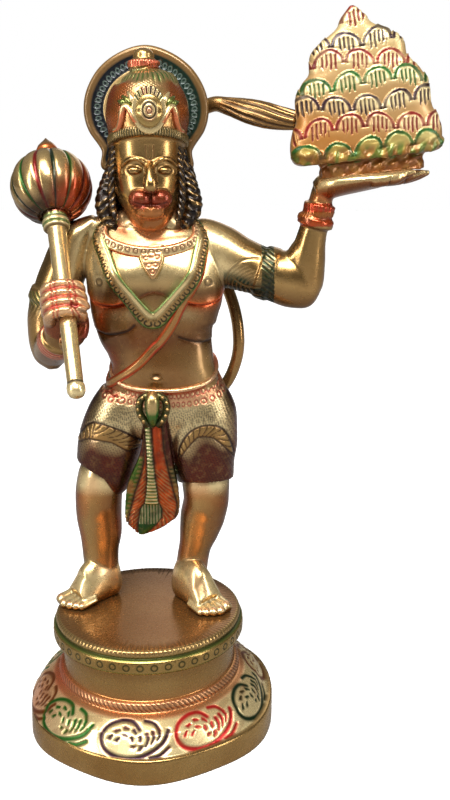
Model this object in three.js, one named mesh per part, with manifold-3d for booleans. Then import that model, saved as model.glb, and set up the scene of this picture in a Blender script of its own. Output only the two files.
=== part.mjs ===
// A cast-brass hanuman statue in millimetres, +Z up, facing -Y. The origin is the centre of the plinth's
// underside. Six castings: plinth, figure, halo, tail, mace and mountain.
import * as THREE from 'three';
import Module from 'manifold-3d';

const wasm = await Module();
wasm.setup();

// Sizes that stand by themselves
const seatGap = 0.3; // between pieces that touch

const plinthHeight = 86.5;
const footRadius = 93.6;
const footHeight = 18.5;
const footSwell = 1.6; // six soft corners left by hand filing
const slopeTopRadius = 69;
const slopeHeight = 20;
const ringRadius = 67.7;
const ringHeight = 6.9;
const drumRadius = 65;
const tierHeight = 17.7; // the top tier, from its lower groove to the standing face
const tierRadius = 72;
const drumOffset = -2.5; // the slope and drum stand this far off the foot's centre
const tierGroove = 4.5;
const rimWidth = 3;

const figureHeight = 400; // soles to the crown's knob
const soleCut = 4; // how far the soles are drawn below the standing face before they are cut flat

const shaftRadius = 5.8;
const shaftTaper = 0.6;
const gripPlay = 0.35; // between the shaft and the fist's bore
const maceBallRadius = 28;
const maceBallHeight = 50;
const maceRibs = 14;
const maceRibDepth = 2.2;
const collarRadius = 9;
const collarHeight = 9;
const budRadius = 8.4;
const budHeight = 16;
const ballAboveGrip = 91;
const shaftBelowGrip = 56.5;

const mountainHeight = 101;
const mountainHalfWidth = 50;
const mountainHalfDepth = 18;
const mountainFootHeight = 8;
const mountainFootHalf = 35;
const mountainLean = 6; // degrees, apex toward the body
const scallopPitch = 19.5;
const scallopRelief = 1.8;

const haloThickness = 4.5;
const haloRimRadius = 2.8;
const haloBandWidth = 8;
const haloLip = 1.2;

const tailRadius = 4.3;
const tuftRadius = 8.2;

// The body is drawn in four-hundredths of its height
const unit = figureHeight / 400;
const degree = Math.PI / 180;

// Raw shapes are { points, faces }. These turn them into solids, and solids into meshes.

function vector(row) {
  return new THREE.Vector3(row[0], row[1], row[2]);
}

function volumeOf({ points, faces }) {
  let six = 0;
  for (const [a, b, c] of faces) {
    const [p, q, r] = [points[a], points[b], points[c]];
    six += p.x * (q.y * r.z - q.z * r.y) - p.y * (q.x * r.z - q.z * r.x) + p.z * (q.x * r.y - q.y * r.x);
  }
  return six / 6;
}

function solid(raw) {
  const inward = volumeOf(raw) < 0;
  const triVerts = new Uint32Array(raw.faces.flatMap(([a, b, c]) => (inward ? [a, c, b] : [a, b, c])));
  const vertProperties = new Float32Array(raw.points.flatMap((p) => [p.x, p.y, p.z]));
  return new wasm.Manifold(new wasm.Mesh({ numProp: 3, vertProperties, triVerts }));
}

function joined(raws) {
  return raws.map(solid).reduce((whole, piece) => whole.add(piece));
}

function geometryOf(body) {
  const mesh = body.getMesh();
  const geometry = new THREE.BufferGeometry();
  geometry.setAttribute('position', new THREE.BufferAttribute(new Float32Array(mesh.vertProperties), 3));
  geometry.setIndex(new THREE.BufferAttribute(new Uint32Array(mesh.triVerts), 1));
  geometry.computeVertexNormals();
  return geometry;
}

function moved(raw, change) {
  return { points: raw.points.map((p) => change(p.clone())), faces: raw.faces };
}

// Rows of numbers joined by a smooth curve, with `steps` rows for each span

function curveThrough(a, b, c, d, t) {
  const bend = 2 * a - 5 * b + 4 * c - d;
  const twist = 3 * b - a - 3 * c + d;
  return 0.5 * (2 * b + (c - a) * t + bend * t * t + twist * t * t * t);
}

function smooth(rows, steps) {
  const count = rows.length;
  const at = (i) => rows[Math.min(Math.max(i, 0), count - 1)];
  const out = [];
  for (let i = 0; i < count - 1; i++) {
    for (let k = 0; k < steps; k++) {
      const [before, here, next, after] = [at(i - 1), at(i), at(i + 1), at(i + 2)];
      out.push(here.map((_, n) => curveThrough(before[n], here[n], next[n], after[n], k / steps)));
    }
  }
  out.push([...rows[count - 1]]);
  return out;
}

// A section's outline: angle 0 is its side, 90 degrees its front. `square` under 1 makes it boxier.

function sectionPoint(row, angle, square) {
  const across = Math.sign(Math.cos(angle)) * Math.abs(Math.cos(angle)) ** square;
  const out = Math.sign(Math.sin(angle)) * Math.abs(Math.sin(angle)) ** square;
  return [row[3] * across, (out > 0 ? row[4] : row[5]) * out, (row[7] ?? 0) * across - (row[6] ?? 0) * out];
}

// A closed skin over oval sections. A row is [x, y, z, half width, front, back, rake, lean]: rake lifts the
// section's back over its front, lean lifts its side. `across` is the direction of the half width.

function loft(rows, options = {}) {
  const { across = [1, 0, 0], sides = 16, square = 1, flutes = 0, fluteDepth = 0 } = options;
  const { closed = false, dents = [] } = options;
  const path = rows.map((row) => [...row, 0, 0].slice(0, 8));
  const count = path.length;
  const points = [];
  path.forEach((row, i) => {
    const before = path[closed ? (i + count - 1) % count : Math.max(i - 1, 0)];
    const after = path[closed ? (i + 1) % count : Math.min(i + 1, count - 1)];
    const along = vector(after).sub(vector(before)).normalize();
    const side = typeof across === 'function' ? across(i) : vector(across);
    side.addScaledVector(along, -side.dot(along)).normalize();
    const front = side.clone().cross(along);
    for (let j = 0; j < sides; j++) {
      const angle = (2 * Math.PI * j) / sides;
      const flute = 1 - fluteDepth * (0.5 + 0.5 * Math.cos(flutes * angle));
      const [u, v, w] = sectionPoint(row, angle, square);
      const point = vector(row).addScaledVector(side, u * flute).addScaledVector(front, v * flute);
      points.push(pushed(point.addScaledVector(along, w), dents, vector(row)));
    }
  });
  return { points, faces: skinFaces(points, path, sides, closed) };
}

function skinFaces(points, path, sides, closed) {
  const count = path.length;
  const faces = [];
  for (let i = 0; i < (closed ? count : count - 1); i++) {
    for (let j = 0; j < sides; j++) {
      const [a, b] = [i * sides + j, i * sides + ((j + 1) % sides)];
      const [c, d] = [((i + 1) % count) * sides + j, ((i + 1) % count) * sides + ((j + 1) % sides)];
      faces.push([a, b, d], [a, d, c]);
    }
  }
  if (closed) return faces;
  for (const [row, order] of [[0, 1], [count - 1, -1]]) {
    const hub = new THREE.Vector3();
    for (let j = 0; j < sides; j++) hub.addScaledVector(points[row * sides + j], 1 / sides);
    points.push(hub);
    for (let j = 0; j < sides; j++) {
      const [a, b] = [row * sides + j, row * sides + ((j + 1) % sides)];
      faces.push(order > 0 ? [points.length - 1, b, a] : [points.length - 1, a, b]);
    }
  }
  return faces;
}

// Soft swellings and hollows: each dent is { at, size, push }, a bell of that size about that place

function pushed(point, dents, centre) {
  const out = point.clone().sub(centre).normalize();
  let total = 0;
  for (const { at, size, push } of dents) {
    const [x, y, z] = point.toArray().map((value, n) => (value - at[n]) / size[n]);
    total += push * Math.exp(-x * x - y * y - z * z);
  }
  return point.addScaledVector(out, total);
}

function ball(centre, radii, sides = 10, rings = 6) {
  const rows = [];
  for (let i = 0; i <= rings; i++) {
    const angle = (Math.PI * (i + 0.35)) / (rings + 0.7);
    const wide = Math.sin(angle);
    const z = centre[2] - radii[2] * Math.cos(angle);
    rows.push([centre[0], centre[1], z, radii[0] * wide, radii[1] * wide, radii[1] * wide]);
  }
  return loft(rows, { sides });
}

function tube(route, radius, options = {}) {
  return loft(route.map(([x, y, z, r = radius]) => [x, y, z, r, r, r]), { sides: 6, ...options });
}

function grown(rows, extra) {
  return rows.map((row) => row.map((value, n) => (n > 2 && n < 6 ? value + extra : value)));
}

function scaled(rows) {
  return rows.map((row) => row.map((value) => value * unit));
}

function place(x, y, z) {
  return [x * unit, y * unit, z * unit];
}

// Plinth: one turned profile, with six soft corners toward the foot

function makePlinth() {
  const ringBase = footHeight + slopeHeight;
  const drumBase = ringBase + ringHeight;
  const tierBase = plinthHeight - tierHeight;
  const rimBase = plinthHeight - tierGroove - 2;
  const profile = [
    [0, 0], [footRadius, 0], [footRadius - 1, footHeight - 1.5], [footRadius - 2.4, footHeight],
    [(footRadius + slopeTopRadius) / 2 + 1.5, footHeight + slopeHeight * 0.55], [slopeTopRadius, ringBase],
    [ringRadius - 0.8, drumBase - 2], [drumRadius, drumBase], [drumRadius, tierBase - 1.5],
    [tierRadius, (tierBase + rimBase) / 2 - 1], [tierRadius - 0.6, rimBase - 1],
    [tierRadius - tierGroove, rimBase], [tierRadius - rimWidth, rimBase + 1.5],
    [tierRadius - rimWidth - 0.8, plinthHeight], [0, plinthHeight],
  ];
  const sides = 30;
  const points = [new THREE.Vector3(0, 0, 0), new THREE.Vector3(0, 0, plinthHeight)];
  const rings = profile.slice(1, -1);
  const faces = [];
  rings.forEach(([radius, z], i) => {
    const swell = footSwell * Math.max(0, 1 - z / ringBase);
    const aside = z > footHeight ? drumOffset : 0;
    for (let j = 0; j < sides; j++) {
      const angle = (2 * Math.PI * j) / sides;
      const reach = radius + swell * Math.cos(6 * (angle + Math.PI / 2));
      points.push(new THREE.Vector3(aside + reach * Math.cos(angle), reach * Math.sin(angle), z));
      const [a, b] = [2 + i * sides + j, 2 + i * sides + ((j + 1) % sides)];
      if (i === 0) faces.push([0, b, a]);
      if (i === rings.length - 1) faces.push([1, a, b]);
      else faces.push([a, b, b + sides], [a, b + sides, a + sides]);
    }
  });
  return solid({ points, faces });
}

// Torso, from the hips to under the chin

const torsoRows = scaled([
  [11.2, 14, 152, 38, 19, 18], [11.2, 13, 171, 40.5, 21, 20.5], [10.6, 12, 190, 36.8, 21, 20],
  [8.7, 12, 200.4, 38.2, 21.4, 20.6], [6.6, 12, 213, 43, 22.6, 22], [6, 12, 226, 46.2, 23, 23.5],
  [6.6, 12, 240, 48.2, 24, 25], [6.8, 12, 254, 49.6, 24.4, 25.5], [5.8, 12.5, 266, 49.2, 22.4, 24],
  [4.6, 13, 276, 45.4, 19.5, 21], [4.2, 13, 284, 35, 16.5, 17.5], [4.7, 11, 291, 23, 15, 15.5],
  [4.8, 7, 300, 17.8, 14.5, 15], [4.6, 5, 309, 17, 14, 15],
]);
const torsoDents = [
  { at: [-15, -11, 249], size: [17, 15, 13], push: 4.6 },
  { at: [29, -11, 249], size: [17, 15, 13], push: 4.6 },
  { at: [9, -8, 184], size: [24, 12, 15], push: 2.2 },
  { at: [9, -8, 216], size: [5, 14, 22], push: -1.2 },
  { at: [7, 36, 235], size: [6, 12, 48], push: -3.2 },
  { at: [-14, 33, 256], size: [15, 13, 17], push: 3.4 },
  { at: [28, 33, 256], size: [15, 13, 17], push: 3.4 },
].map(({ at, size, push }) => ({ at: place(...at), size: place(...size), push: push * unit }));
const torsoSquare = 0.86;
const torsoSides = 14;
const torsoLines = smooth(torsoRows, 3);

function torsoRowAt(z) {
  const next = Math.max(1, torsoLines.findIndex((row) => row[2] >= z));
  const [low, high] = [torsoLines[next - 1], torsoLines[next]];
  const share = (z - low[2]) / (high[2] - low[2]);
  return low.map((value, n) => value + (high[n] - value) * share);
}

// A place on the torso's skin at an angle round it (90 degrees is the breast bone), and its outward way
function onTorso(turn, height, lift = 0) {
  const row = torsoRowAt(height * unit);
  const [u, v] = sectionPoint(row, turn * degree, torsoSquare);
  const flat = new THREE.Vector3(u / row[3] ** 2, -v / row[4] ** 2, 0).normalize();
  const point = pushed(new THREE.Vector3(row[0] + u, row[1] - v, row[2]), torsoDents, vector(row));
  return { point: point.addScaledVector(flat, lift * unit), out: flat };
}

// A strap is a flat band laid on the skin. Its route is [turn, height, half width, thickness].
function strap(route, { lift = 0, sides = 4 } = {}) {
  const spots = route.map(([turn, height]) => onTorso(turn, height, lift));
  const rows = route.map(([, , half, thick], i) => [
    ...spots[i].point.toArray(), half * unit, thick * unit, thick * unit,
  ]);
  const across = (i) => {
    const [before, after] = [rows[Math.max(i - 1, 0)], rows[Math.min(i + 1, rows.length - 1)]];
    return spots[i].out.clone().cross(vector(after).sub(vector(before)).normalize());
  };
  return loft(rows, { across, sides });
}

function makeJewels() {
  const necklace = [
    [8, 291, 3.4, 2.6], [36, 282, 3.8, 2.8], [62, 272, 4, 3], [90, 267.5, 4, 3.2], [118, 272, 4, 3],
    [144, 282, 3.8, 2.8], [172, 291, 3.4, 2.6],
  ];
  const pendant = [[90, 270, 9.5, 3], [90, 263, 9, 3.4], [90, 256, 6, 3.2], [90, 250, 1.6, 2.2]];
  const garland = [
    [20, 289, 3.4, 2.6], [46, 273, 3.8, 2.6], [63, 253, 4.2, 2.6], [78, 232, 4.6, 2.8],
    [90, 221, 5.6, 3.2], [102, 232, 4.6, 2.8], [117, 253, 4.2, 2.6], [134, 273, 3.8, 2.6],
    [160, 289, 3.4, 2.6],
  ];
  const thread = [
    [36, 281], [60, 250], [76, 218], [98, 197], [130, 181], [175, 173], [225, 194], [270, 236], [320, 274],
    [392, 282],
  ].map(([turn, height]) => [turn, height, 3.4, 2.2]);
  return [strap(necklace), strap(pendant, { lift: -0.5, sides: 6 }), strap(garland), strap(thread)];
}

// Head and crown, drawn about their own axis and turned a little toward the raised hand

const headTurn = 7 * degree;
const headAxis = place(4, 2, 0);
const headRows = scaled([
  [0, 2, 287, 12, 15, 12], [0, -1, 295, 17.4, 21.6, 17], [0, 0, 306, 22.2, 22.5, 22],
  [0, 0, 317, 24, 22, 24.5], [0, 0, 327, 24.2, 22.5, 25.5], [0, 0, 336.5, 24.6, 24, 25.6, -6],
  [0, 0, 337.5, 27.6, 27.8, 28.2, -6], [0, 0, 342.5, 28.2, 28.4, 28.8, -5.5],
  [0, 0, 344, 26.4, 26.6, 27, -5], [0, 0, 357, 28, 27.8, 28.2, -2], [0, 0, 368, 26.4, 26, 26.4],
  [0, 0, 376.5, 22, 21.6, 22],
  [-0.8, 0, 382.6, 15.6, 15.4, 15.4], [-1.4, 0, 387, 9, 9, 9],
  [-1.6, 0, 387.8, 10.6, 10.6, 10.6], [-1.8, 0, 391.6, 10.6, 10.6, 10.6], [-1.8, 0, 392.4, 6.8, 6.8, 6.8],
  [-1.8, 0, 396.6, 6.8, 6.8, 6.8], [-1.8, 0, 400, 2.4, 2.4, 2.4],
]);
const headSides = 14;

function ontoHead(raw) {
  const up = new THREE.Vector3(0, 0, 1);
  return moved(raw, (point) => point.applyAxisAngle(up, headTurn).add(vector(headAxis)));
}

function unitBall(centre, radii, sides, rings) {
  return ball(place(...centre), place(...radii), sides, rings);
}

function unitTube(route, radius, options) {
  return tube(scaled(route.map(([x, y, z, r = radius]) => [x, y, z, r])), radius * unit, options);
}

function makeHead() {
  const parts = [loft(headRows, { sides: headSides })];
  parts.push(unitTube([[0, -20, 326, 3], [0, -29, 312, 5], [0, -28, 307.5, 3.4]], 4, { sides: 5 }));
  parts.push(unitBall([0, -20, 294.5], [10, 8, 5.5], 8, 3));
  const lips = [
    [-12, -18, 298.5, 1.4], [-6, -25.5, 296.8], [0, -27.8, 296.4], [6, -25.5, 296.8], [12, -18, 298.5, 1.4],
  ];
  parts.push(unitTube(lips, 1.9, { sides: 4 }));
  for (const way of [-1, 1]) {
    parts.push(unitBall([way * 7, -22.5, 303], [8.2, 7.5, 6.8], 8, 4));
    parts.push(unitBall([way * 10, -20.6, 321.5], [5.6, 3.2, 2.8], 6, 3));
    const brow = [[2.5, -22.6, 325], [8, -23.8, 328.6], [14, -20.5, 328], [19, -15, 323.5, 0.8]];
    parts.push(unitTube(brow.map(([x, ...rest]) => [way * x, ...rest]), 1.6, { sides: 4 }));
    parts.push(unitBall([way * 24.4, 1.4, 317], [2.8, 4.6, 7.4], 6, 3));
    parts.push(unitBall([way * 25.6, 1, 307.5], [2.4, 2.6, 3], 5, 2));
    const scroll = [
      [9, -27.4, 350], [14, -25.4, 347.5], [18, -22.6, 351], [19, -21.6, 358], [15.5, -24.6, 361.5],
      [13, -25.8, 357, 1],
    ];
    parts.push(unitTube(scroll.map(([x, ...rest]) => [way * x, ...rest]), 2, { sides: 4 }));
  }
  const medal = [[10.6, -22], [10.6, -29.4], [8.4, -30], [7.4, -29], [6.4, -30.6], [2.4, -31.4]];
  parts.push(loft(scaled(medal.map(([r, y]) => [0, y, 358.2, r, r, r])), { sides: 14 }));
  const crest = scaled([[15, -20], [14.6, -27]].map(([r, y]) => [0, y, 361.5, r, r, r]));
  parts.push(loft(crest, { sides: 18, flutes: 9, fluteDepth: 0.12 }));
  return parts.map(ontoHead);
}

// Long locks fall from under the crown to the shoulders, and in a short fan down the back

function makeHair(extra = 0) {
  const parts = [];
  const locks = [
    [[22, -7, 337, 3], [25, -7.5, 320, 4], [26.4, -8, 304, 4], [24, -10.6, 291, 2.8], [20.6, -11, 286, 1.2]],
    [[22.5, 5, 338, 4.5], [26.8, 6, 322, 5], [31.6, 6.4, 305, 6], [31, 4, 291, 5.2], [26, 2, 282, 2.4]],
  ];
  for (const way of [-1, 1]) {
    for (const lock of locks) {
      const route = lock.map(([x, y, z, r]) => [3.4 + way * x, y, z, r + extra]);
      parts.push(unitTube(route, 4, { sides: 5, across: [0, 1, 0] }));
    }
  }
  const back = [
    [4, 17, 340, 22, 9, 9], [4, 21, 318, 25, 10, 10], [4, 25, 296, 24, 10, 9.5], [4, 30, 272, 18, 7.5, 6.5],
    [4, 34.5, 252, 7, 4, 3.6],
  ];
  parts.push(loft(grown(scaled(back), extra), { sides: 14, flutes: 7, fluteDepth: 0.08 }));
  return parts;
}

// Right arm, bent, with its fist closed round the mace's shaft

const gripPoint = vector(place(-48.7, -39.4, 235.7));
const ballPoint = vector(place(-64.2, 10, 310.9));
const maceWay = ballPoint.clone().sub(gripPoint).normalize();
const gripRight = new THREE.Vector3(1, 0, 0).addScaledVector(maceWay, -maceWay.x).normalize();
const gripFront = gripRight.clone().cross(maceWay);

function atGrip(right, front, along) {
  const point = gripPoint.clone().addScaledVector(gripRight, right);
  return point.addScaledVector(gripFront, front).addScaledVector(maceWay, along);
}

function makeRightArm() {
  const upper = scaled([
    [-35, 14, 289.4, 3.6, 6, 7], [-43.6, 15, 282, 8.8, 10.4, 12], [-51.4, 15, 272.8, 13.4, 14, 14.6],
    [-59, 15, 253, 16, 16.4, 16.4],
    [-63.8, 15, 240, 16.6, 16.6, 16], [-64, 15, 239, 18.4, 18.4, 17.8],
    [-67.6, 15, 230, 18.6, 18.2, 17.4], [-68, 15, 229, 17, 16.4, 15.6], [-70.6, 15.5, 216, 16.4, 16, 15.4],
    [-71.2, 15, 202, 15.2, 15.4, 15.6], [-70, 12.6, 190, 12, 13.4, 14.4], [-69, 11, 182, 3.4, 4.6, 4.6],
  ]);
  const fore = scaled([
    [-71, 18, 193, 10, 10, 9], [-68.5, 7, 198, 13, 12.5, 11], [-63, -6.6, 204.4, 12.8, 12.2, 11.8],
    [-61.6, -10, 206, 12.4, 11.8, 11.8], [-61.2, -11, 206.4, 14.4, 13.8, 13.8],
    [-57.4, -19.6, 211, 13.6, 13, 13], [-57, -20.6, 211.8, 11, 10.4, 10.4],
    [-54.8, -27, 220, 11.4, 9.2, 9.2], [-54.5, -32, 233, 11.6, 8.4, 8],
    [-54.5, -31, 245, 8.8, 6.6, 6.6], [-54, -29, 250, 3.4, 3, 3],
  ]);
  return [loft(upper, { sides: 9 }), loft(fore, { sides: 8 }), ...makeGripFingers()];
}

function makeGripFingers() {
  const thick = 4.2 * unit;
  const wide = 3.15 * unit;
  const reach = shaftRadius + gripPlay + thick - 0.6 * unit;
  const turns = [205, 145, 85, 25, -30, -66];
  const parts = [];
  for (const [step, knuckle] of [[-9.9, 4], [-3.3, 5.2], [3.3, 5.4], [9.9, 4.4]]) {
    const route = turns.map((turn, i) => {
      const bulge = i === 0 ? 1 : 0.55 * Math.exp(-(((turn - 150) / 40) ** 2));
      const far = reach + knuckle * unit * bulge;
      const spot = atGrip(far * Math.cos(turn * degree), far * Math.sin(turn * degree), step * unit);
      const size = i < turns.length - 1 ? 1 : 0.6;
      return [...spot.toArray(), wide * size, thick * size, thick * size];
    });
    parts.push(loft(route, { sides: 6, across: maceWay.toArray() }));
  }
  const thumb = [
    [-8, -14, -20, 6], [0, -13, -20.6, 5.4], [6, -11, -17, 4.8], [9.4, -8, -10, 3.8], [9.6, -5, -4, 2.2],
  ];
  const route = thumb.map(([right, front, along, half]) => [
    ...atGrip(right * unit, front * unit, along * unit).toArray(), half * unit,
  ]);
  parts.push(tube(route, 4 * unit, { sides: 5 }));
  return parts;
}

// Left arm, raised, with its open palm up

const palmRows = scaled([
  [118, -3, 308.6, 8, 6, 8], [124, -4, 311.6, 12, 8.4, 9.6], [133, -5.5, 313.4, 15.8, 7.6, 8.8],
  [146, -7, 315, 17.6, 6.8, 7.6], [160, -8, 316.6, 16, 5, 6.2],
]);
const palmSides = 8;

function palmSkin(extra) {
  return loft(grown(palmRows, extra), { sides: palmSides, across: [0, -1, 0] });
}

function makeLeftFingers(extra = 0) {
  const parts = [];
  const reaches = [[-20.6, 182, -17.6], [-12.2, 190, -10.8], [-3.8, 194, -4], [4.6, 188, 2.8]];
  for (const [side, tip, tipSide] of reaches) {
    const finger = [[152, side, 314.6, 4.6], [tip - 9, tipSide, 318.4, 3.6], [tip, tipSide, 320.6, 1.6]];
    const route = finger.map(([x, y, z, r]) => [x, y, z, r + extra]);
    parts.push(unitTube(route, 4, { sides: 5, across: [0, -1, 0] }));
  }
  const thumb = [[122, 4, 309, 5.4], [134, 13, 310.6, 4.8], [146, 18.4, 314, 3.6], [153, 20, 317, 1.6]];
  const side = thumb.map(([x, y, z, r]) => [x, y, z, r + extra]);
  parts.push(unitTube(side, 4, { sides: 5, across: [0, 0, 1] }));
  return parts;
}

function makeLeftArm() {
  const upper = scaled([
    [28, 12.6, 270, 18, 13, 14], [40, 13.4, 268.4, 21.4, 15.4, 16.4], [51, 14, 264.8, 21, 17, 17.4],
    [66, 12.2, 258.2, 19, 16.4, 16.4], [84, 9.4, 252.4, 17.4, 15.4, 15.4],
    [84.6, 9.3, 252.2, 19, 17.2, 17.2], [92.6, 8.4, 249.6, 19.6, 17.2, 17.2],
    [93.2, 8.3, 249.4, 18.6, 15.4, 15.4], [103, 7, 247.4, 19.8, 15, 15], [112.6, 6, 245.6, 18.4, 13.4, 13.6],
    [120, 5, 246.4, 11, 9, 10], [123.4, 5, 247, 4.4, 4, 5],
  ]);
  const fore = scaled([
    [109, 7, 236, 10, 9, 9], [111.6, 5.8, 246.6, 13.9, 12.6, 13.2], [113, 4, 260, 13.2, 12, 12.6],
    [115.6, 1, 276, 10.4, 9.8, 10.2], [117.2, -0.3, 284.4, 9.6, 9.2, 9.4],
    [117.8, -0.4, 285.2, 12.4, 12.4, 12.4], [119, -1.1, 290, 12.6, 12.4, 12.4],
    [119.6, -1.3, 292, 10.4, 10.2, 10.2], [120.8, -2, 299.4, 11, 11, 11],
    [121, -2.1, 300.4, 8.2, 8.4, 8.4], [122.6, -3, 309, 7.4, 8.6, 8.6], [124, -3.6, 315, 4.4, 5, 5],
  ]);
  const bands = [loft(upper, { sides: 9, across: [0, 0, -1] }), loft(fore, { sides: 8 })];
  return [...bands, palmSkin(0), ...makeLeftFingers()];
}

// Dhoti: hips and two legs of cloth down to the knees, a rolled waist and the loin cloth

const hipRows = scaled([
  [9, 14, 130, 22, 15, 16], [10, 14, 143, 40, 19.6, 21], [12, 14, 158, 47.6, 23, 25],
  [11.6, 13, 172, 42.2, 22.6, 22.6, 10], [11.4, 12.6, 181, 38, 22.2, 21.2, 13],
  [11.4, 12.6, 182.4, 40, 24.6, 23.4, 13.4], [11.4, 12.6, 185.2, 40, 24.6, 23.4, 14],
  [11.4, 12.6, 186.4, 36.4, 20.6, 19.6, 14],
]);

function makeDhoti() {
  const cloth = scaled([
    [6.6, -6, 152, 7.6, 9, 6], [5.6, -5, 122, 13, 8.6, 6], [2.4, -1, 92, 21.6, 7, 5, 0, -1],
    [1.8, 1, 79, 22.6, 5.4, 4.6, 0, -2], [-1.4, 0, 69, 17.6, 5, 4.4, 0, -6.5],
    [-6.8, -1.4, 58.6, 3, 2, 2, 0, -1],
  ]);
  return [
    loft(hipRows, { sides: torsoSides, square: torsoSquare }),
    loft(cloth, { sides: 12, flutes: 6, fluteDepth: 0.14 }), ...makeKnot(),
  ];
}

function makeKnot() {
  const bud = [[7, -14, 170, 3], [7, -18, 165, 5.2], [7, -18, 156, 4.6], [7, -15, 150, 2]];
  const parts = [unitTube(bud, 4, { sides: 6 })];
  for (const way of [-1, 1]) {
    const loop = [[3, -14, 170], [12, -13, 166], [11.6, -14, 155], [3, -14, 147]];
    parts.push(unitTube(loop.map(([x, y, z]) => [7 + way * x, y, z]), 3, { sides: 4 }));
  }
  return parts;
}

// Legs in one skin from sole to hip: the cloth of the dhoti begins at a step below each knee

function makeLegs() {
  const right = scaled([
    [-38.4, 21, 2, 12, 11, 10], [-40.7, 20.6, 21, 13.2, 12, 11.6], [-40.6, 18.6, 38, 14, 11.8, 12.4],
    [-39.8, 17.6, 54, 16.2, 13.4, 16.2], [-40.4, 16, 68, 17.2, 15, 17.8],
    [-39.8, 14.4, 84, 17.6, 17.2, 16.4],
    [-36.6, 14.4, 99, 18, 17, 16.4, -1, -4.6], [-34.8, 14.6, 101.6, 20.4, 19.6, 19.2, -1, -5],
    [-32.6, 14.8, 113, 22.8, 21.4, 21], [-29.4, 15, 128, 23.9, 22.6, 22.4],
    [-24, 15, 145, 22.8, 22.6, 22.6], [-16.4, 15, 162, 19.6, 20, 20],
  ]);
  const left = scaled([
    [28.4, 20, 2, 11.4, 11, 10], [29.8, 20, 21, 12.2, 11.8, 11.4], [32.2, 18.6, 38, 12.2, 11.8, 12.2],
    [36.2, 17.6, 54.6, 15.2, 13.4, 16], [39.2, 16, 68, 17.1, 15, 17.8], [41.8, 14.4, 83, 17.2, 17.2, 16.4],
    [41.4, 14.4, 95, 18, 17, 16.4, -1, -4], [40.6, 14.6, 97.8, 21, 19.8, 19.4, -1, -4.4],
    [39, 14.8, 111, 24.4, 21.6, 21.4], [38, 15, 127, 27.4, 22.8, 22.4], [37.4, 15, 145, 27.6, 22.8, 22.8],
    [33, 15, 164, 24, 20, 20],
  ]);
  return [
    loft(right, { sides: 10 }), loft(left, { sides: 10 }),
    ...makeFoot([-29, 25, 0], [-57.4, 1.6, 0], -1), ...makeFoot([19.5, 22.5, 0], [44.6, -8, 0], 1),
  ];
}

function makeFoot(heel, instep, way) {
  const [from, to] = [vector(place(...heel)), vector(place(...instep))];
  const length = to.distanceTo(from);
  const along = to.clone().sub(from).normalize();
  const inner = new THREE.Vector3(along.y, -along.x, 0).multiplyScalar(-way);
  const at = (forward, aside, up) => {
    const spot = from.clone().addScaledVector(along, forward * length).addScaledVector(inner, aside * unit);
    return [spot.x, spot.y, (up - soleCut) * unit];
  };
  const rows = [
    [0, 0, 12, 7, 8, 10], [0.14, 0, 13, 10, 19, 12], [0.42, 0.2, 15.6, 11.2, 23, 15],
    [0.74, 0.8, 11.4, 12.2, 16.6, 12], [0.98, 0.8, 8.6, 12.2, 8.6, 9],
  ].map(([forward, aside, up, ...sizes]) => [...at(forward, aside, up), ...place(...sizes)]);
  const across = [along.y, -along.x, 0];
  const parts = [loft(rows, { sides: 8, across })];
  const toes = [[8.2, 4.1, 1.3], [1.3, 2.6, 1.34], [-3.8, 2.4, 1.29], [-8.3, 2.1, 1.21], [-12.2, 1.9, 1.12]];
  for (const [aside, thick, reach] of toes) {
    const toe = [[reach - 0.4, 9.4, 1], [reach - 0.08, 7.4, 1.08], [reach + 0.02, 6.2, 0.7]];
    const route = toe.map(([forward, up, size]) => [...at(forward, aside, up), thick * size * unit]);
    parts.push(tube(route, thick * unit, { sides: 4, across: [along.y, -along.x, 1] }));
  }
  return parts;
}

// Mace: a turned shaft and collar with a ribbed ball and a bud on top

function turned(profile, options) {
  const rows = profile.map(([along, radius]) => [...atGrip(0, 0, along).toArray(), radius, radius, radius]);
  return loft(rows, { across: gripRight.toArray(), ...options });
}

function boreRows() {
  const bore = shaftRadius + gripPlay;
  const top = ballAboveGrip - maceBallHeight / 2 - collarHeight;
  return [[-shaftBelowGrip, bore - shaftTaper], [0, bore], [top, bore + shaftTaper]];
}

function makeMace() {
  const low = ballAboveGrip - maceBallHeight / 2;
  const end = shaftRadius - shaftTaper;
  const collar = low - collarHeight;
  const staff = [
    [-shaftBelowGrip - 10, 1.6], [-shaftBelowGrip - 8.4, end - 0.4], [-shaftBelowGrip - 5, end + 0.8],
    [-shaftBelowGrip - 0.6, end + 0.5], [-shaftBelowGrip, end - 0.8], [-shaftBelowGrip + 0.8, end],
    [0, shaftRadius], [collar, shaftRadius + shaftTaper], [collar + 0.6, collarRadius],
    [low - 2.6, collarRadius], [low - 2, collarRadius - 1.6], [low + 7, collarRadius - 2],
  ];
  const turns = [8, 36, 64, 92, 120, 146, 170];
  const ballRows = turns.map((turn) => {
    const dimple = turn < 20 ? 3.5 : 0;
    const along = ballAboveGrip - (maceBallHeight / 2) * Math.cos(turn * degree) + dimple;
    return [along, maceBallRadius * Math.sin(turn * degree) ** 0.9];
  });
  const top = ballAboveGrip + maceBallHeight / 2;
  const bud = [
    [top - 3, budRadius * 0.8], [top, budRadius * 0.86], [top + 1.4, budRadius],
    [top + 5, budRadius * 0.92], [top + budHeight * 0.7, budRadius * 0.5], [top + budHeight, 0.6],
  ];
  const ribs = { sides: maceRibs * 2, flutes: maceRibs, fluteDepth: maceRibDepth / maceBallRadius };
  return joined([turned(staff, { sides: 12 }), turned(ballRows, ribs), turned(bud, { sides: 8 })]);
}

// Mountain: a leaning mound on a short foot, its front covered with rows of scallops

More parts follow.
